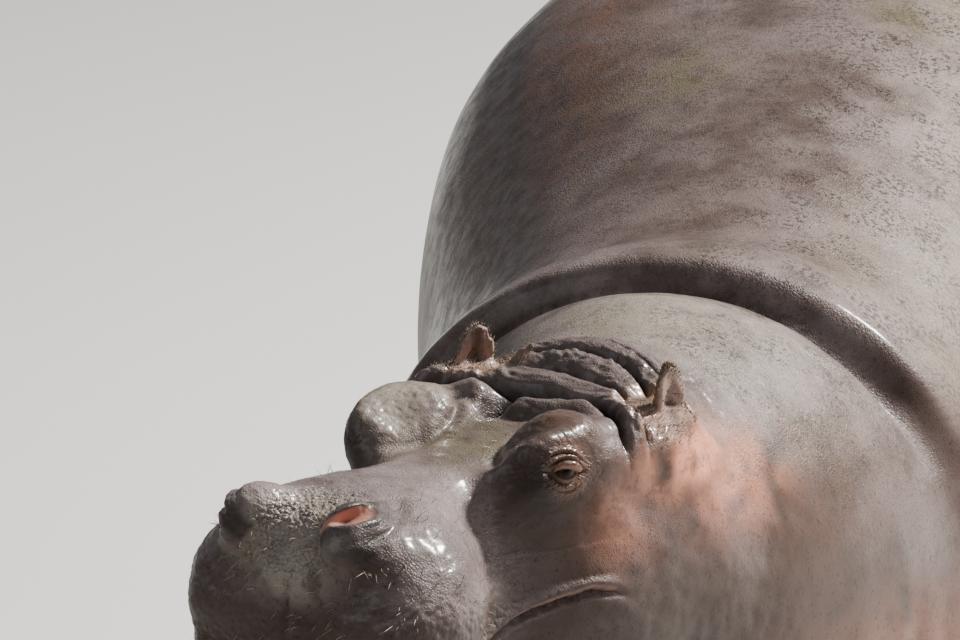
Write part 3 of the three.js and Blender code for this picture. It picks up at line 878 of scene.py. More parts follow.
def built(name, points, tris, material, marks=None, uv=None):
    """A smooth-shaded mesh object from arrays, with a number for each point under each mark's name."""
    mesh = bpy.data.meshes.new(name)
    mesh.vertices.add(len(points))
    mesh.vertices.foreach_set("co", np.asarray(points, np.float32).ravel())
    mesh.loops.add(len(tris) * 3)
    mesh.loops.foreach_set("vertex_index", np.asarray(tris, np.int32).ravel())
    mesh.polygons.add(len(tris))
    mesh.polygons.foreach_set("loop_start", np.arange(0, len(tris) * 3, 3, dtype=np.int32))
    mesh.polygons.foreach_set("loop_total", np.full(len(tris), 3, np.int32))
    mesh.update(calc_edges=True)
    mesh.shade_smooth()
    for mark, values in (marks or {}).items():
        mesh.attributes.new(mark, "FLOAT", "POINT").data.foreach_set("value", values.astype(np.float32))
    if uv is not None:
        mesh.uv_layers.new(name="OFBake").data.foreach_set("uv", uv.astype(np.float32).ravel())
    mesh.materials.append(material)
    obj = bpy.data.objects.new(name, mesh)
    bpy.context.scene.collection.objects.link(obj)
    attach(obj, "root")
    return obj


# ---------------- the unwrap

PART_SCALE = {"face": 2.2, "ear": 2.6, "body": 1.0, "tail": 1.5}
CHART_GAP = 0.02


def body_parts(points, spine):
    """A number for each place's part of the body, and each part's scale on the unwrap."""
    s, b, z = spine.T
    tail_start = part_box("tail")[0].y + 0.04
    ear = near_ears(spine, 0.10) > 0.3
    legs = (z < 0.50) & (s > 1.25)
    choices = [ear & (b > 0), ear, legs & (b > 0) & (s < 2.2), legs & (s < 2.2), legs & (b > 0), legs]
    choices.append((points[:, 1] > tail_start) & (z > 0.5))
    choices += [s < 0.22, s < 0.52, s < 0.88, s < 1.30, s < 2.3]
    part = np.select(choices, range(len(choices)), len(choices))
    scale = [PART_SCALE["ear"]] * 2 + [PART_SCALE["body"]] * 4 + [PART_SCALE["tail"]]
    return part, np.array(scale + [PART_SCALE["face"]] * 3 + [PART_SCALE["body"]] * 3)


def unwrap(points, tris, near):
    """Flat charts of the smoothed hide, one for each part of the body and way it faces."""
    smooth = relax(points, near, 12)
    spine = to_spine(smooth)
    normals = unit(to_spine(smooth + 0.001 * normals_of(smooth, tris)) - spine)
    facing = normals[tris].mean(1)
    axis = np.abs(facing).argmax(1)
    ahead = np.take_along_axis(facing, axis[:, None], 1)[:, 0] > 0
    part, scale = body_parts(smooth[tris].mean(1), spine[tris].mean(1))
    chart = part * 6 + axis * 2 + ahead
    corners = spine[tris]
    kept_axes = np.array([(1, 2), (0, 2), (0, 1)])[axis]
    flat = np.take_along_axis(corners, np.repeat(kept_axes[:, None, :], 3, axis=1), 2)
    flat *= scale[part][:, None, None]
    names = np.unique(chart)
    low = np.array([flat[chart == name].min((0, 1)) for name in names])
    size = np.array([flat[chart == name].max((0, 1)) for name in names]) - low + CHART_GAP
    width = math.sqrt(size.prod(1).sum())
    spots, height = shelves(size, width)
    while height > width:
        width *= 1.02
        spots, height = shelves(size, width)
    move = np.zeros((names.max() + 1, 2))
    move[names] = spots - low + CHART_GAP / 2
    return (flat + move[chart][:, None, :]) / width


def shelves(size, width):
    """Lower corners for boxes set side by side on shelves, tallest first, and the height they fill."""
    spots = np.zeros(size.shape)
    x = y = shelf = 0.0
    for i in np.argsort(-size[:, 1], kind="stable"):
        if x + size[i, 0] > width:
            x, y, shelf = 0.0, y + shelf, 0.0
        spots[i] = x, y
        x += size[i, 0]
        shelf = max(shelf, size[i, 1])
    return spots, y + shelf


# ---------------- materials

def tint(red, green, blue):
    return (red, green, blue, 1.0)


class Paint:
    """A material's nodes, put together by short calls that each give back a socket."""

    def __init__(self, name, **sockets):
        self.material = bpy.data.materials.new(name)
        self.material.use_nodes = True
        self.tree = self.material.node_tree
        self.shader = self.tree.nodes["Principled BSDF"]
        self.finish(**sockets)
        self.place = self.node("TexCoord", {}, "Object")

    def put(self, socket, value):
        if isinstance(value, bpy.types.NodeSocket):
            self.tree.links.new(value, socket)
        else:
            socket.default_value = value

    def node(self, kind, inputs, output=0, **settings):
        node = self.tree.nodes.new("ShaderNode" + kind)
        for name, value in settings.items():
            setattr(node, name, value)
        for name, value in inputs.items():
            self.put(node.inputs[name], value)
        return node.outputs[output]

    def finish(self, **sockets):
        """Sets or links the shader's sockets and gives back the material."""
        for name, value in sockets.items():
            self.put(self.shader.inputs[name.replace("_", " ")], value)
        return self.material

    def mark(self, name):
        return self.node("Attribute", {}, "Fac", attribute_name=name)

    def times(self, a, b):
        return self.node("Math", {0: a, 1: b}, operation="MULTIPLY")

    def plus(self, a, b):
        return self.node("Math", {0: a, 1: b}, operation="ADD")

    def ramp(self, x, low, high, start=0.0, end=1.0):
        inputs = {"Value": x, "From Min": low, "From Max": high, "To Min": start, "To Max": end}
        return self.node("MapRange", inputs, interpolation_type="SMOOTHSTEP")

    def marked(self, name, *ramp):
        """The ramp of a pattern where a mark lies, and nothing elsewhere."""
        return self.times(self.mark(name), self.ramp(*ramp))

    def mix(self, a, b, share):
        return self.node("Mix", {0: share, 6: a, 7: b}, 2, data_type="RGBA")

    def scaled(self, size, stretch=(1, 1, 1), warp=0.0, turn=0.0):
        """The place in units of size, stretched and turned about z, and pulled about by warp."""
        place = self.node("Mapping", {"Vector": self.place, "Rotation": (0, 0, turn)})
        if warp:
            inputs = {"Vector": self.place, "Scale": 0.4 / size, "Detail": 2.0}
            swirl = self.node("TexNoise", inputs, "Color")
            swirl = self.node("VectorMath", {0: swirl, 1: (0.5, 0.5, 0.5)}, operation="SUBTRACT")
            swirl = self.node("VectorMath", {0: swirl, "Scale": warp * size}, operation="SCALE")
            place = self.node("VectorMath", {0: place, 1: swirl}, operation="ADD")
        scale = tuple(1 / (size * along) for along in stretch)
        return self.node("VectorMath", {0: place, 1: scale}, operation="MULTIPLY")

    def noise(self, size, detail=3.0, roughness=0.55, **placing):
        inputs = {"Vector": self.scaled(size, **placing), "Scale": 1.0}
        return self.node("TexNoise", inputs | {"Detail": detail, "Roughness": roughness}, "Fac")

    def cells(self, size, feature="F1", **placing):
        inputs = {"Vector": self.scaled(size, **placing), "Scale": 1.0}
        return self.node("TexVoronoi", inputs, "Distance", feature=feature)

    def bump(self, height):
        return self.node("Bump", {"Strength": 1.0, "Distance": 1.0, "Height": height}, "Normal")


HIDE = tint(0.046, 0.028, 0.022)
MAUVE = tint(0.215, 0.168, 0.162)
OLIVE = tint(0.120, 0.105, 0.052)
# A light tone painted on as sunlight and sheen.
SHEEN_TONE = tint(0.32, 0.280, 0.228)
RUST = tint(0.108, 0.051, 0.033)
PINK = tint(0.70, 0.285, 0.180)
PALE = tint(0.27, 0.165, 0.140)
BLACK = tint(0.010, 0.008, 0.007)
LID_COLOUR = tint(0.44, 0.215, 0.140)
NOSTRIL_COLOUR = tint(0.43, 0.205, 0.158)
EAR_COLOUR = tint(0.165, 0.108, 0.066)
EAR_HOLLOW = tint(0.36, 0.225, 0.185)
IRIS, IRIS_STREAKS = tint(0.030, 0.011, 0.005), tint(0.010, 0.005, 0.003)
EYE_EDGE, PUPIL_BLACK = tint(0.075, 0.026, 0.018), tint(0.002, 0.002, 0.002)
HORN, HORN_BANDS = tint(0.040, 0.031, 0.026), tint(0.105, 0.080, 0.062)
HORN_GRAIN, WORN_HORN = tint(0.03, 0.024, 0.02), tint(0.17, 0.140, 0.110)


def hide_material():
    """Wet, pebbled, finely wrinkled hide."""
    p = Paint("wet_hide", Coat_Roughness=0.16, Coat_IOR=1.33, IOR=1.42, Specular_IOR_Level=0.18)
    muzzle = p.mark("muzzle")
    broad = p.noise(0.13, 4.0, 0.6)
    patches = p.noise(0.045, 4.0, 0.62)
    specks = p.noise(0.0065, 3.0)
    pores = p.cells(0.0075, warp=0.5)
    network = p.cells(0.013, "DISTANCE_TO_EDGE", warp=0.9)
    fine_network = p.cells(0.0048, "DISTANCE_TO_EDGE", warp=0.7)
    hatching = p.noise(0.0032, 2.0, stretch=(1, 5, 1), warp=0.8, turn=-HEAD_TURN)
    top, inner = p.mark("top_lit"), p.mark("nostril")
    colour = HIDE
    for tone, share in (
        # Lighter mauve on up-facing skin: painted light from above.
        (MAUVE, p.times(p.ramp(broad, 0.30, 0.66, 0.15, 1.0), p.ramp(top, 0.0, 1.0, 0.12, 1.0))),
        # The muzzle's mauve-grey tone, laid lighter on its up-facing skin and over the shaded front
        # between the nostrils as painted light.
        (MAUVE, p.times(muzzle, p.ramp(patches, 0.35, 0.62, 0.05, 0.5))),
        (HIDE, p.mark("shade")),
        (RUST, p.marked("rust", patches, 0.25, 0.6)),
        (PALE, p.marked("pale", patches, 0.2, 0.7, 0.2, 0.8)),
        # Painted sunlight and sheen on lit tops and the lit side, and painted light over the shaded front
        # between the nostrils.
        (SHEEN_TONE, p.marked("painted_sheen", patches, 0.25, 0.60, 0.25, 1.0)),
        (OLIVE, p.marked("algae", patches, 0.30, 0.62)),
        (PINK, p.marked("pink", patches, 0.25, 0.50, 0.25, 1.0)),
        (EAR_COLOUR, p.marked("ear", patches, 0.1, 0.5)),
        (EAR_HOLLOW, p.mark("ear_hollow")),
        (LID_COLOUR, p.marked("lid", specks, 0.2, 0.7, 0.5, 1.0)),
        # Painted shade in the pit, the forehead's creases, the ear hollows and the turrets' shadowed
        # sides; also darker skin round the nostrils and darker feet.
        (BLACK, p.times(p.mark("dark"), 0.86)),
        # Painted shade in grooves and creases.
        (BLACK, p.times(p.mark("groove"), 0.80)),
        # Painted highlight along up-facing ridges.
        (MAUVE, p.marked("ridge_highlight", top, 0.0, 1.0, 0.10, 0.5)),
        (BLACK, p.ramp(specks, 0.52, 0.80, 0.0, 0.62)),
        (BLACK, p.marked("sparkle", p.noise(0.0075, 3.0), 0.48, 0.62, 0.0, 0.75)),
        (BLACK, p.ramp(network, 0.0, 0.07, 0.10, 0.0)),
        (BLACK, p.ramp(pores, 0.0, 0.16, 0.5, 0.0)),
        (NOSTRIL_COLOUR, inner),
        # Painted shade deep inside each nostril.
        (BLACK, p.times(p.mark("nostril_depth"), 0.8)),
    ):
        colour = p.mix(colour, tone, share)

    driest, wettest = p.ramp(top, 0.0, 0.8, 0.12, 0.40), p.ramp(top, 0.0, 0.8, 0.14, 0.80)
    uneven = p.noise(0.028, 3.0, 0.6)
    wet = p.ramp(uneven, 0.35, 0.65, driest, wettest)
    wet = p.times(wet, p.ramp(inner, 0.0, 1.0, 1.0, 0.3))
    wet = p.plus(wet, p.times(p.mark("gloss"), 0.35))
    wet = p.times(wet, p.ramp(p.mark("dark"), 0.2, 0.9, 1.0, 0.12))
    bumps = (
        p.times(p.ramp(fine_network, 0.0, 0.30), 0.00042),
        p.times(p.noise(0.0023, 2.0), 0.00036),
        p.times(p.noise(0.011, 3.0), 0.0008),
        p.times(hatching, p.times(muzzle, 0.0008)),
        p.times(p.ramp(pores, 0.0, 0.35), p.times(p.mark("sparkle"), 0.0012)),
    )
    shares = (
        p.ramp(top, 0.0, 0.7, 0.14, 1.0),
        p.ramp(p.mark("smooth"), 0.0, 1.0, 1.0, 0.35),
        p.ramp(inner, 0.0, 1.0, 1.0, 0.35),
    )
    height = reduce(p.times, shares, reduce(p.plus, bumps))
    return p.finish(
        Base_Color=colour,
        Roughness=p.ramp(uneven, 0.7, 0.3, p.ramp(top, 0.0, 0.7, 0.46, 0.34), 0.50),
        Coat_Weight=wet,
        Normal=p.bump(height),
    )


def eye_material():
    p = Paint("eye", Coat_Weight=0.12, Coat_Roughness=0.03, Roughness=0.35, Specular_IOR_Level=0.05)
    away = p.mark("away")
    streaks = p.noise(0.0012, 3.0)
    colour = p.mix(IRIS, IRIS_STREAKS, streaks)
    colour = p.mix(colour, EYE_EDGE, p.ramp(away, 0.66, 0.85))
    colour = p.mix(PUPIL_BLACK, colour, p.ramp(p.mark("pupil"), 0.85, 1.05))
    return p.finish(Base_Color=colour)


def nail_material():
    p = Paint("nail_horn", Coat_Weight=0.15, Coat_Roughness=0.3)
    bands = p.noise(0.004, 3.0, stretch=(5, 5, 1))
    grain = p.noise(0.0016, 3.0, stretch=(1, 1, 8))
    colour = p.mix(HORN, HORN_BANDS, p.ramp(bands, 0.3, 0.7))
    colour = p.mix(colour, HORN_GRAIN, p.ramp(grain, 0.5, 0.8, 0.0, 0.7))
    colour = p.mix(WORN_HORN, colour, p.ramp(p.mark("height"), 0.0, 0.25))
    return p.finish(
        Base_Color=colour,
        Roughness=p.ramp(bands, 0.3, 0.7, 0.38, 0.6),
        Normal=p.bump(p.plus(p.times(bands, 0.0006), p.times(grain, 0.0004))),
    )


def hair_material(sort, prefix=""):
    p = Paint(prefix + sort, Roughness=0.45)
    root, tip = (tint(*colour) for colour in HAIR_SORTS[sort][3:])
    colour = p.mix(root, tip, p.ramp(p.mark("along"), 0.0, 1.0))
    colour = p.mix(colour, BLACK, p.ramp(p.noise(0.006, 2.0), 0.45, 0.75, 0.0, 0.6))
    return p.finish(Base_Color=colour)


def floor_material():
    p = Paint("studio_floor", Roughness=0.75)
    light, shade = tint(0.66, 0.66, 0.645), tint(0.60, 0.60, 0.585)
    return p.finish(Base_Color=p.mix(shade, light, p.noise(2.5, 3.0)))


# ---------------- markings

# Soft blotches, alike on both sides: how strong, the middle and the radii. A middle is s, the distance
# from the midline and the height above the brow.
BLOTCHES = {
    "algae": [(0.80, (0.445, 0, 0.020), (0.085, 0.08, 0.20))],
    "shade": [
        (0.45, (0.15, 0.15, -0.060), (0.09, 0.05, 0.05)),
        (0.70, (0.43, 0, 0.030), (0.10, 0.07, 0.08)),
    ],
    "pink": [
        (1.60, (0.70, 0.215, -0.022), (0.095, 0.06, 0.042)),
        (0.80, (0.80, 0.245, -0.080), (0.10, 0.07, 0.06)),
        (0.40, (0.53, 0.190, -0.090), (0.06, 0.05, 0.06)),
    ],
    "rust": [(0.60, (0.95, 0.36, 1.10 - BROW_Z), (0.20, 0.12, 0.15))],
    # Darker below and in front of each nostril, and painted shadow on the front of each eye turret.
    "dark": [
        (0.50, (0.10, 0.10, -0.060), (0.10, 0.08, 0.05)),
        (0.85, (0.035, 0.112, -0.010), (0.060, 0.032, 0.034)),
        (0.85, (0.39, 0.165, 0.005), (0.060, 0.045, 0.060)),
    ],
    # Painted shadow on the far eye turret's unlit side.
    "far_turret_shadow": [(0.90, (0.42, 0.168, 0.026), (0.08, 0.030, 0.050))],
}
# How strong the painted shade is in each crease's bottom.
CREASE_SHADE_STRENGTH = (0.95, 0.95, 0.85, 0.60)


def blotches(kind, mirrored):
    """The strongest blotch of one kind at each place, given as (s, distance from the midline, z)."""
    brow = (0, 0, BROW_Z)
    spots = [strong * blob(mirrored, np.add(at, brow), size) for strong, at, size in BLOTCHES[kind]]
    return np.maximum.reduce(spots)


def lid_mark(points, eye):
    """The pale pad along each upper lid, a thin pale line below it and a fold above it."""
    mark = 0.30 * smoothstep(0.056, 0.030, eye)
    for name, side in SIDES.items():
        gap, tilt, x = lid_gap(points - box_middle(f"eye_{name}"), gaze_of(side))
        upper = bell(gap - 0.0045, 0.0042) + 0.35 * bell(gap - 0.0165, 0.0040)
        pad = np.where(tilt > 0, upper, 0.45 * bell(gap - 0.002, 0.003))
        mark = np.maximum(mark, pad * (eye < 0.045) * (1 - smoothstep(1.0, 1.5, np.abs(x))))
    return mark


def ear_marks(points, normals, b):
    """The inner side of each ear, and the shade down the middle of its hollow."""
    hollow, shade = np.zeros(len(b)), np.zeros(len(b))
    for name, side in SIDES.items():
        facing, wide = ear_axes(name)
        inside = smoothstep(0.15, 0.6, normals @ facing) * (b * side > 0)
        hollow = np.maximum(hollow, inside)
        shade = np.maximum(shade, inside * bell((points - box_middle(f"ear_{name}")) @ wide, 0.012))
    return hollow, shade


def crease_shade(spine, points, ear):
    """Painted shade in the bottoms of the creases across the forehead."""
    s, b, z = spine.T
    cracks = np.zeros(len(s))
    for line, darkness in zip(crease_lines(b, points), CREASE_SHADE_STRENGTH):
        cracks = np.maximum(cracks, darkness * bell(s - line, 0.0085))
    return cracks * crease_reach(b) * (1 - ear) * smoothstep(BROW_Z - 0.01, BROW_Z + 0.025, z)


def markings(points, tris, near):
    """Where the hide's colours lie, each from 0 to 1 at every point."""
    spine = to_spine(points)
    s, b, z = spine.T
    mirrored = np.stack([s, np.abs(b), z], 1)
    normals = normals_of(points, tris)
    broad, fine = (((relax(points, near, rounds) - points) * normals).sum(1) for rounds in (14, 2))
    up = smoothstep(0.2, 0.9, normals[:, 2])
    slow, quick = noise(points, 0.16, 61), noise(points, 0.04, 62)
    ear = near_ears(spine, 0.095)
    hollow, hollow_shade = ear_marks(points, normals, b)
    above_root = ear * smoothstep(BROW_Z + 0.01, BROW_Z + 0.045, z)
    outside, _, _ = nostril_shape(spine)
    nostril = smoothstep(0.10, -0.25, outside)
    trunk = smoothstep(1.25, 1.40, s)
    smooth_back = 1 - 0.6 * trunk
    crown = (1 - smoothstep(0.78, 0.90, s)) * smoothstep(BROW_Z - 0.02, BROW_Z + 0.02, z)
    between = bell(b, 0.070) * smoothstep(BROW_Z - 0.12, BROW_Z - 0.06, z)
    neck_top = up * plateau(s, 0.84, 0.92, 1.16, 1.25)
    turret = blob(mirrored, (TURRET["s"], TURRET["b"], BROW_Z + 0.07), (0.10, 0.07, 0.06))
    choices = {
        # Hollows lying below their smoothed surroundings, for painted shade in grooves and creases.
        "groove": [
            smoothstep(0.0004, 0.0042, broad) * smooth_back,
            0.8 * smoothstep(0.0001, 0.0010, fine) * crown,
        ],
        # Ridges standing above their smoothed surroundings, for a painted highlight.
        "ridge_highlight": [
            smoothstep(0.0003, 0.0030, -broad) * smooth_back,
            0.5 * smoothstep(0.0001, 0.0008, -fine) * crown,
        ],
        # Up-facing skin, unevenly: painted lighter as light from above, and given more coat and less
        # roughness.
        "top_lit": [smoothstep(-0.1, 0.75, normals[:, 2] + 0.25 * slow)],
        "gloss": [plateau(s, 0.52, 0.60, 0.84, 0.92) * up],
        "smooth": [blob(mirrored, (TURRET["s"], TURRET["b"], BROW_Z + 0.06), (0.11, 0.08, 0.07))],
        "sparkle": [
            up * smoothstep(0.84, 0.95, s) * (0.5 + 0.5 * smoothstep(-0.05, 0.15, b))
            * smoothstep(-0.6, 0.3, quick)
        ],
        # The muzzle's up-facing skin and the shaded front between the nostrils: mauve-grey tone with
        # painted light, and where the fine hatching lies.
        "muzzle": [(1 - smoothstep(0.26, 0.42, s)) * np.maximum(up, between)],
        "nostril": [nostril],
        # Painted shade deep inside each nostril.
        "nostril_depth": [smoothstep(-0.55, -1.0, outside)],
        "ear": [ear * (0.3 + 0.7 * smoothstep(BROW_Z + 0.015, BROW_Z + 0.045, z))],
        "ear_hollow": [hollow * above_root],
        "lid": [lid_mark(points, eye_distance(spine))],
        "algae": [
            up * blotches("algae", mirrored),
            0.4 * up * plateau(s, 0.84, 0.95, 1.12, 1.25) * smoothstep(0.1, 0.7, slow),
            0.5 * up * trunk * smoothstep(1.2, 1.35, z) * smoothstep(0.0, 0.7, slow),
        ],
        # Painted sunlight and sheen on the neck's top, the trunk's lit left side and the far turret's top;
        # painted light on the shaded front between the nostrils.
        "painted_sheen": [
            0.66 * neck_top * smoothstep(-0.16, 0.0, b) * (1 - 0.45 * smoothstep(0.05, 0.25, b)),
            0.7 * up * trunk * smoothstep(0.10, 0.40, b),
            0.8 * up * turret * (b < 0),
            0.6 * between * (1 - smoothstep(0.08, 0.16, s)),
        ],
        "shade": [
            0.55 * trunk * (1 - smoothstep(-0.05, 0.30, b)) * smoothstep(1.1, 1.3, z),
            0.95 * turret * (b > 0),
            0.45 * smoothstep(0.58, 0.64, s) * crown,
            blotches("shade", mirrored),
        ],
        "rust": [
            trunk * smoothstep(1.36, 1.15, z) * (0.30 + 0.25 * smoothstep(0.35, 0.95, z)),
            # Redder on the trunk's right side, away from the key light: rust tone that is partly painted
            # shade.
            0.85 * trunk * smoothstep(-0.15, -0.40, b) * smoothstep(0.8, 1.1, z),
            0.45 * turret,
            blotches("rust", mirrored),
        ],
        "pink": [
            blotches("pink", mirrored),
            0.45 * smoothstep(0.95, 0.65, z) * plateau(s, 0.70, 0.85, 1.05, 1.45),
        ],
        "pale": [0.9 * smoothstep(-0.25, -0.85, normals[:, 2]) * smoothstep(0.25, 0.6, z)],
        # Painted shadow and shade in the pit behind the turrets, the forehead's creases, each ear's hollow
        # and the turrets' shadowed sides; darker skin round the nostrils, and darker towards the floor.
        "dark": [
            0.75 * bell(outside - 0.5, 0.9) * (1 - nostril),
            blotches("dark", mirrored),
            blotches("far_turret_shadow", mirrored) * (b < 0),
            0.97 * blob(spine, (0.580, ROLL["between"], BROW_Z + 0.02), (0.040, 0.024, 0.07)),
            0.5 * smoothstep(0.16, 0.04, z),
            crease_shade(spine, points, ear),
            0.75 * hollow_shade * above_root,
        ],
    }
    marks = {name: np.maximum.reduce(parts) for name, parts in choices.items()}
    marks["pink"] = np.minimum(marks["pink"] * smoothstep(-1.1, 0.1, quick + 0.5 * slow), 1)
    return marks


# ---------------- hairs

HAIR_SIDES = 4
HAIR_RINGS = 4
PATCH = 0.003


def hairs(name, roots, ways, droops, lengths, widths, uv, material):
    """Tapered hairs as one solid mesh: each leaves its root along its way, bent towards its droop."""
    count = len(roots)
    along = np.linspace(0, 1, HAIR_RINGS + 1)[None, :, None]
    bend = ways[:, None] * along + droops[:, None] * along**2
    path = roots[:, None] + lengths[:, None, None] * bend
    side = unit(np.cross(ways, np.array([0.31, 0.17, 0.93])))
    rise = np.cross(side, ways)
    turn = np.arange(HAIR_SIDES) * 2 * math.pi / HAIR_SIDES
    round_it = side[:, None] * np.cos(turn)[:, None] + rise[:, None] * np.sin(turn)[:, None]
    thick = widths[:, None] / 2 * (1 - along[0, :-1, 0] ** 1.6)
    rings = path[:, :-1, None] + thick[:, :, None, None] * round_it[:, None]
    points = np.concatenate([rings.reshape(count, -1, 3), path[:, -1:]], 1)
    j = np.arange(HAIR_SIDES)
    k = (j + 1) % HAIR_SIDES
    last = (HAIR_RINGS - 1) * HAIR_SIDES
    tip = np.stack([last + j, last + k, np.full(HAIR_SIDES, last + HAIR_SIDES)], 1)
    sleeve = ring_tris(HAIR_RINGS, HAIR_SIDES)[:, [0, 2, 1]]
    tris = np.concatenate([[[0, 2, 1], [0, 3, 2]], sleeve, tip])
    per_hair = points.shape[1]
    all_tris = (tris[None] + (np.arange(count) * per_hair)[:, None, None]).reshape(-1, 3)
    ring_number = np.append(np.repeat(np.arange(HAIR_RINGS), HAIR_SIDES), HAIR_RINGS)
    shares = np.tile(ring_number / HAIR_RINGS, count)
    around = np.append(np.tile(j, HAIR_RINGS), 0)
    patch = np.stack([around / HAIR_SIDES - 0.5, ring_number / HAIR_RINGS - 0.5], 1) * PATCH
    spots = (uv[:, None] + patch[None]).reshape(-1, 2)
    return built(name, points.reshape(-1, 3), all_tris, material, {"along": shares}, spots[all_tris])


# Each sort of hair: how many, the range of their lengths and widths, the colours at root and tip.
HAIR_SORTS = {
    "bristle": (420, (0.012, 0.034), (0.0008, 0.0014), (0.30, 0.22, 0.14), (0.62, 0.52, 0.38)),
    "ear_hair": (1300, (0.006, 0.013), (0.0007, 0.0013), (0.10, 0.065, 0.040), (0.30, 0.20, 0.125)),
    "tail_bristle": (520, (0.025, 0.055), (0.0010, 0.0018), (0.03, 0.022, 0.018), (0.10, 0.075, 0.055)),
}


def chosen(rng, share, sort):
    """Point numbers drawn at random, as often as each point's share says."""
    total = np.cumsum(share)
    return np.searchsorted(total, rng.random(HAIR_SORTS[sort][0]) * total[-1])


def hair_sizes(rng, sort):
    count, lengths, widths, _, _ = HAIR_SORTS[sort]
    return rng.uniform(*lengths, count), rng.uniform(*widths, count)


def scattered(rng, directions, amount):
    return unit(directions + rng.normal(0, amount, directions.shape))


def muzzle_bristles(points, normals, uv, area):
    """Stiff pale bristles on the lips and round the nostrils."""
    rng = np.random.default_rng(7)
    spine = to_spine(points)
    s, _, z = spine.T
    share = area * (s < 0.24) * (z > 0.92) * (z < BROW_Z + 0.02) * (0.25 + bell(s - 0.02, 0.05))
    outside, _, _ = nostril_shape(spine)
    share *= smoothstep(-0.5, 0.2, noise(points, 0.05, 71)) * (outside > 1.2)
    root = chosen(rng, share, "bristle")
    ways = scattered(rng, normals[root] + across((-0.2, 0, 0.15)), 0.25)
    droops = scattered(rng, np.tile([0.0, 0.0, -1.0], (len(root), 1)), 0.5) * 0.35
    lengths, widths = hair_sizes(rng, "bristle")
    planted = points[root], ways, droops, lengths, widths, uv[root]
    return hairs("muzzle_bristles", *planted, hair_material("bristle"))


def ear_hair(name, side, points, normals, uv, area):
    """A scruffy fringe round the ear and short hair on its back and at its root."""
    rng = np.random.default_rng(11 + side)
    ear = EAR_MIDDLES[0 if side > 0 else 1]
    spine = to_spine(points)
    offset = spine - ear
    near = 1 - smoothstep(0.070, 0.095, np.linalg.norm(offset, axis=1))
    rim = smoothstep(0.03, 0.07, offset[:, 2])
    facing, _ = ear_axes(name)
    root_side = smoothstep(-0.030, 0.0, np.abs(spine[:, 1]) - abs(ear[1]))
    share = area * near * (0.010 * root_side + 1.6 * rim) * (1.12 - np.clip(normals @ facing, -0.2, 1))
    root = chosen(rng, share, "ear_hair")
    back = across((0.15, side * 0.1, 1.0))
    ways = scattered(rng, normals[root] * 0.55 + back, 0.32)
    droops = scattered(rng, np.tile(across((0.6, side * 0.3, 0.2)), (len(root), 1)), 0.6) * 0.4
    lengths, widths = hair_sizes(rng, "ear_hair")
    lengths = lengths * (0.5 + 0.6 * rim[root])
    planted = points[root], ways, droops, lengths, widths, uv[root]
    return hairs(f"ear_hair_{name}", *planted, hair_material("ear_hair", name + "_"))


def tail_bristles(points, normals, uv, area):
    """Dark flat bristles along both edges of the tail's end."""
    rng = np.random.default_rng(5)
    low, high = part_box("tail")
    down = smoothstep(low.z + 0.20, low.z + 0.04, points[:, 2])
    share = area * (points[:, 1] > high.y - 0.065) * (np.abs(points[:, 0]) < 0.06) * down
    share *= 0.15 + np.abs(normals[:, 0]) ** 2
    root = chosen(rng, share, "tail_bristle")
    ways = scattered(rng, normals[root] * 0.6 + np.array([0.0, 0.0, -1.0]), 0.2)
    droops = np.tile([0.0, 0.0, -0.4], (len(root), 1))
    lengths, widths = hair_sizes(rng, "tail_bristle")
    lengths = np.minimum(lengths, np.maximum(points[root][:, 2] - low.z + 0.012, 0.01))
    planted = points[root], ways, droops, lengths, widths, uv[root]
    return hairs("tail_bristles", *planted, hair_material("tail_bristle"))


# ---------------- eyes and nails

# The pupil's half width and height, and how the cornea stands out of the eyeball, as shares of its radius.
PUPIL = (0.26, 0.17)
CORNEA = {"ball": 0.985, "bulge": 0.03, "reach": 0.62}


def eyeball(name, side, material):
    """A dark eye with its cornea standing out along the gaze and a pupil wider than it is high."""
    look, rear, rise = gaze_of(side)
    points, tris = ball(72, 96)
    x, y, ahead = points.T
    angle = np.arccos(np.clip(ahead, -1, 1))
    radius = EYE_RADIUS * (CORNEA["ball"] + CORNEA["bulge"] * bell(angle, CORNEA["reach"]))
    marks = {"away": angle, "pupil": np.hypot(x / PUPIL[0], y / PUPIL[1]) + 9 * (ahead < 0)}
    turned = (points @ np.array([rear, rise, look])) * radius[:, None] + box_middle(f"eye_{name}")
    if np.linalg.det(np.array([rear, rise, look])) < 0:
        tris = tris[:, ::-1]
    obj = built(f"eyeball_{name}", turned, tris, material, marks)
    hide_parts(f"eye_{name}")


NAIL_FLATNESS = 0.62


def welded(points, tris):
    """The same surface with the points that share a place made one."""
    _, first, same = np.unique(np.round(points, 5), axis=0, return_index=True, return_inverse=True)
    tris = same.reshape(-1)[tris]
    sound = (tris[:, 0] != tris[:, 1]) & (tris[:, 1] != tris[:, 2]) & (tris[:, 2] != tris[:, 0])
    return points[first].astype(float), tris[sound].astype(np.int64)


def flattened(points, node):
    """A nail's points drawn in towards the foot and spread out below, like a small hoof."""
    leg = node.replace("_nail_", "_leg_").rsplit("_", 1)[0]
    corners = np.array(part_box(node))
    middle, half = corners.mean(0), (corners[1] - corners[0])[2] / 2
    outward = unit((middle - np.array(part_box(leg)).mean(0)) * (1, 1, 0))
    across_it = np.array([-outward[1], outward[0], 0])
    offset = points - middle
    out, wide, rise = offset @ outward, offset @ across_it, offset[:, 2]
    below = np.clip(-rise / half, 0, 0.94)
    wide = wide * (1 - below**2) ** -0.35
    out = np.where(out > 0, out * NAIL_FLATNESS, out) + 0.12 * np.abs(rise) * (rise < 0)
    return middle + out[:, None] * outward + wide[:, None] * across_it + rise[:, None] * (0, 0, 1)


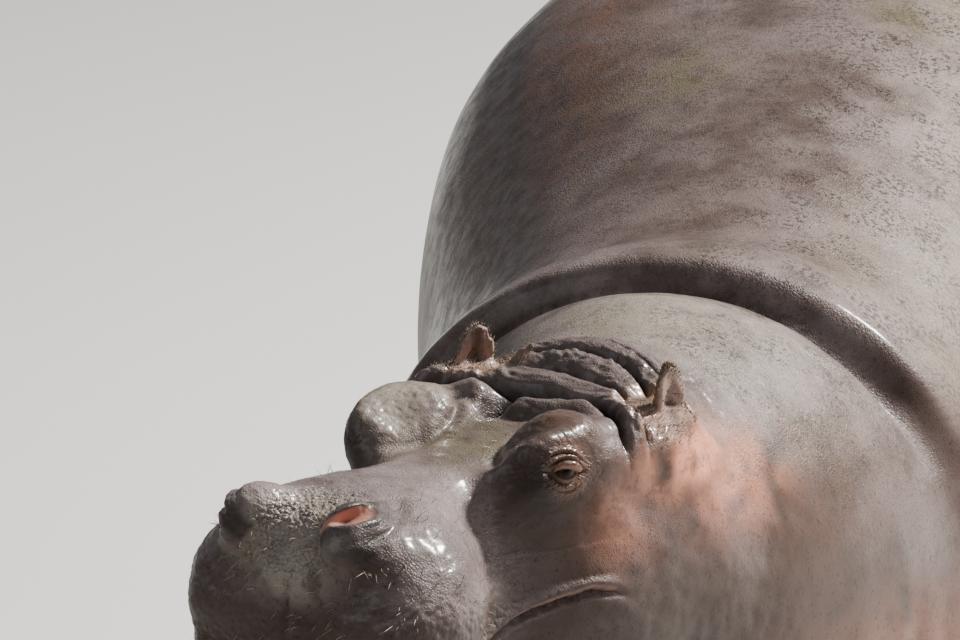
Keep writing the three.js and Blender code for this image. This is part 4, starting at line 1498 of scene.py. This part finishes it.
def nail(node, material):
    """A worn toe nail: the node's own shape, rounded, with growth rings across it."""
    points, tris = welded(*triangles_of(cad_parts[node]))
    for _ in range(3):
        points, tris, _ = finer(points, tris, lambda middles: np.ones(len(middles), bool))
    low, high = points[:, 2].min(), points[:, 2].max()
    points = flattened(points, node)
    rings = noise(points, np.array([0.05, 0.05, 0.0042]), 81)
    points = pushed(points, tris, 0.0005 * rings + 0.0007 * noise(points, 0.011, 82))
    points[:, 2] = np.maximum(points[:, 2], SOLE_Z)
    obj = built(node + "_horn", points, tris, material, {"height": (points[:, 2] - low) / (high - low)})
    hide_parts(node)


# ---------------- floor, lights and camera

CAMERA_DISTANCE = 16.0
CAMERA_TURN = math.radians(9)
CAMERA_RISE = math.radians(17)
# As seen in the picture, the camera aims this far to the right of the eyes' middle and above it.
AIM_RIGHT = 0.0268
AIM_UP = 0.1972
LENS = 426


def aimed(name, data, place, target):
    """A camera or light at a place, turned towards a target."""
    obj = bpy.data.objects.new(name, data)
    obj.location = place
    obj.rotation_euler = (target - obj.location).to_track_quat("-Z", "Y").to_euler()
    bpy.context.scene.collection.objects.link(obj)
    return obj


def set_camera():
    """In front of the animal, a little to its left and above it, with a long lens."""
    focus = Vector(from_spine([(EYE_S - 0.004, 0, BROW_Z)])[0])
    flat = math.cos(CAMERA_RISE)
    ahead, aside = -math.cos(CAMERA_TURN) * flat, math.sin(CAMERA_TURN) * flat
    towards = Vector((aside, ahead, math.sin(CAMERA_RISE)))
    right = (-towards).cross(Vector((0, 0, 1))).normalized()
    up = right.cross(-towards)
    data = bpy.data.cameras.new("camera")
    data.lens = LENS
    data.clip_end = 200
    aim = focus + right * AIM_RIGHT + up * AIM_UP
    bpy.context.scene.camera = aimed("camera", data, focus + towards * CAMERA_DISTANCE, aim)


# Each light's place, size, power in watts and colour.
LIGHTS = {
    "key": ((5.0, 3.2, 6.6), 1.2, 2900, (1.0, 0.97, 0.92)),
    "fill": ((-5.0, -6.0, 4.5), 5.0, 100, (0.94, 0.97, 1.0)),
    "front": ((3.0, -8.0, 3.5), 4.0, 50, (1.0, 1.0, 1.0)),
}
LIGHTS_AIM = Vector((0, -0.6, 0.9))
FLOOR_REACH = 80
WORLD_COLOUR = tint(0.9, 0.95, 1.0)
WORLD_STRENGTH = 0.20


def lamp(name, place, size, power, colour):
    """A square soft light aimed at the middle of the body."""
    data = bpy.data.lights.new(name, "AREA")
    data.size = size
    data.energy = power
    data.color = colour
    aimed(name, data, place, LIGHTS_AIM)


def set_stage():
    """A pale floor, a high key light behind the animal's left, and wide soft fill."""
    far = FLOOR_REACH
    mesh = bpy.data.meshes.new("floor")
    mesh.from_pydata([(-far, -far, 0), (far, -far, 0), (far, far, 0), (-far, far, 0)], [], [(0, 1, 2, 3)])
    mesh.materials.append(floor_material())
    floor = bpy.data.objects.new("floor", mesh)
    bpy.context.scene.collection.objects.link(floor)
    for name, light in LIGHTS.items():
        lamp(name, *light)
    world = bpy.data.worlds.new("studio")
    world.use_nodes = True
    background = world.node_tree.nodes["Background"]
    background.inputs["Color"].default_value = WORLD_COLOUR
    background.inputs["Strength"].default_value = WORLD_STRENGTH
    bpy.context.scene.world = world


# ---------------- the whole animal

def make_hide():
    points, tris, near = sculpted_hide()
    uv = unwrap(points, tris, near)
    hide = built("hide", points, tris, hide_material(), markings(points, tris, near), uv)
    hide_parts(*FLESH)
    root_uv = np.zeros((len(points), 2))
    root_uv[tris.ravel()] = uv.reshape(-1, 2)
    a, b, c = (points[tris[:, i]] for i in range(3))
    face = np.linalg.norm(np.cross(b - a, c - a), axis=1)
    area = np.bincount(tris.ravel(), np.repeat(face, 3), len(points))
    return points, normals_of(points, tris), root_uv, area


def make_animal():
    places = make_hide()
    muzzle_bristles(*places)
    tail_bristles(*places)
    eyes, horn = eye_material(), nail_material()
    for name, side in SIDES.items():
        ear_hair(name, side, *places)
        eyeball(name, side, eyes)
    for node in NAILS:
        nail(node, horn)


set_camera()
set_stage()
make_animal()
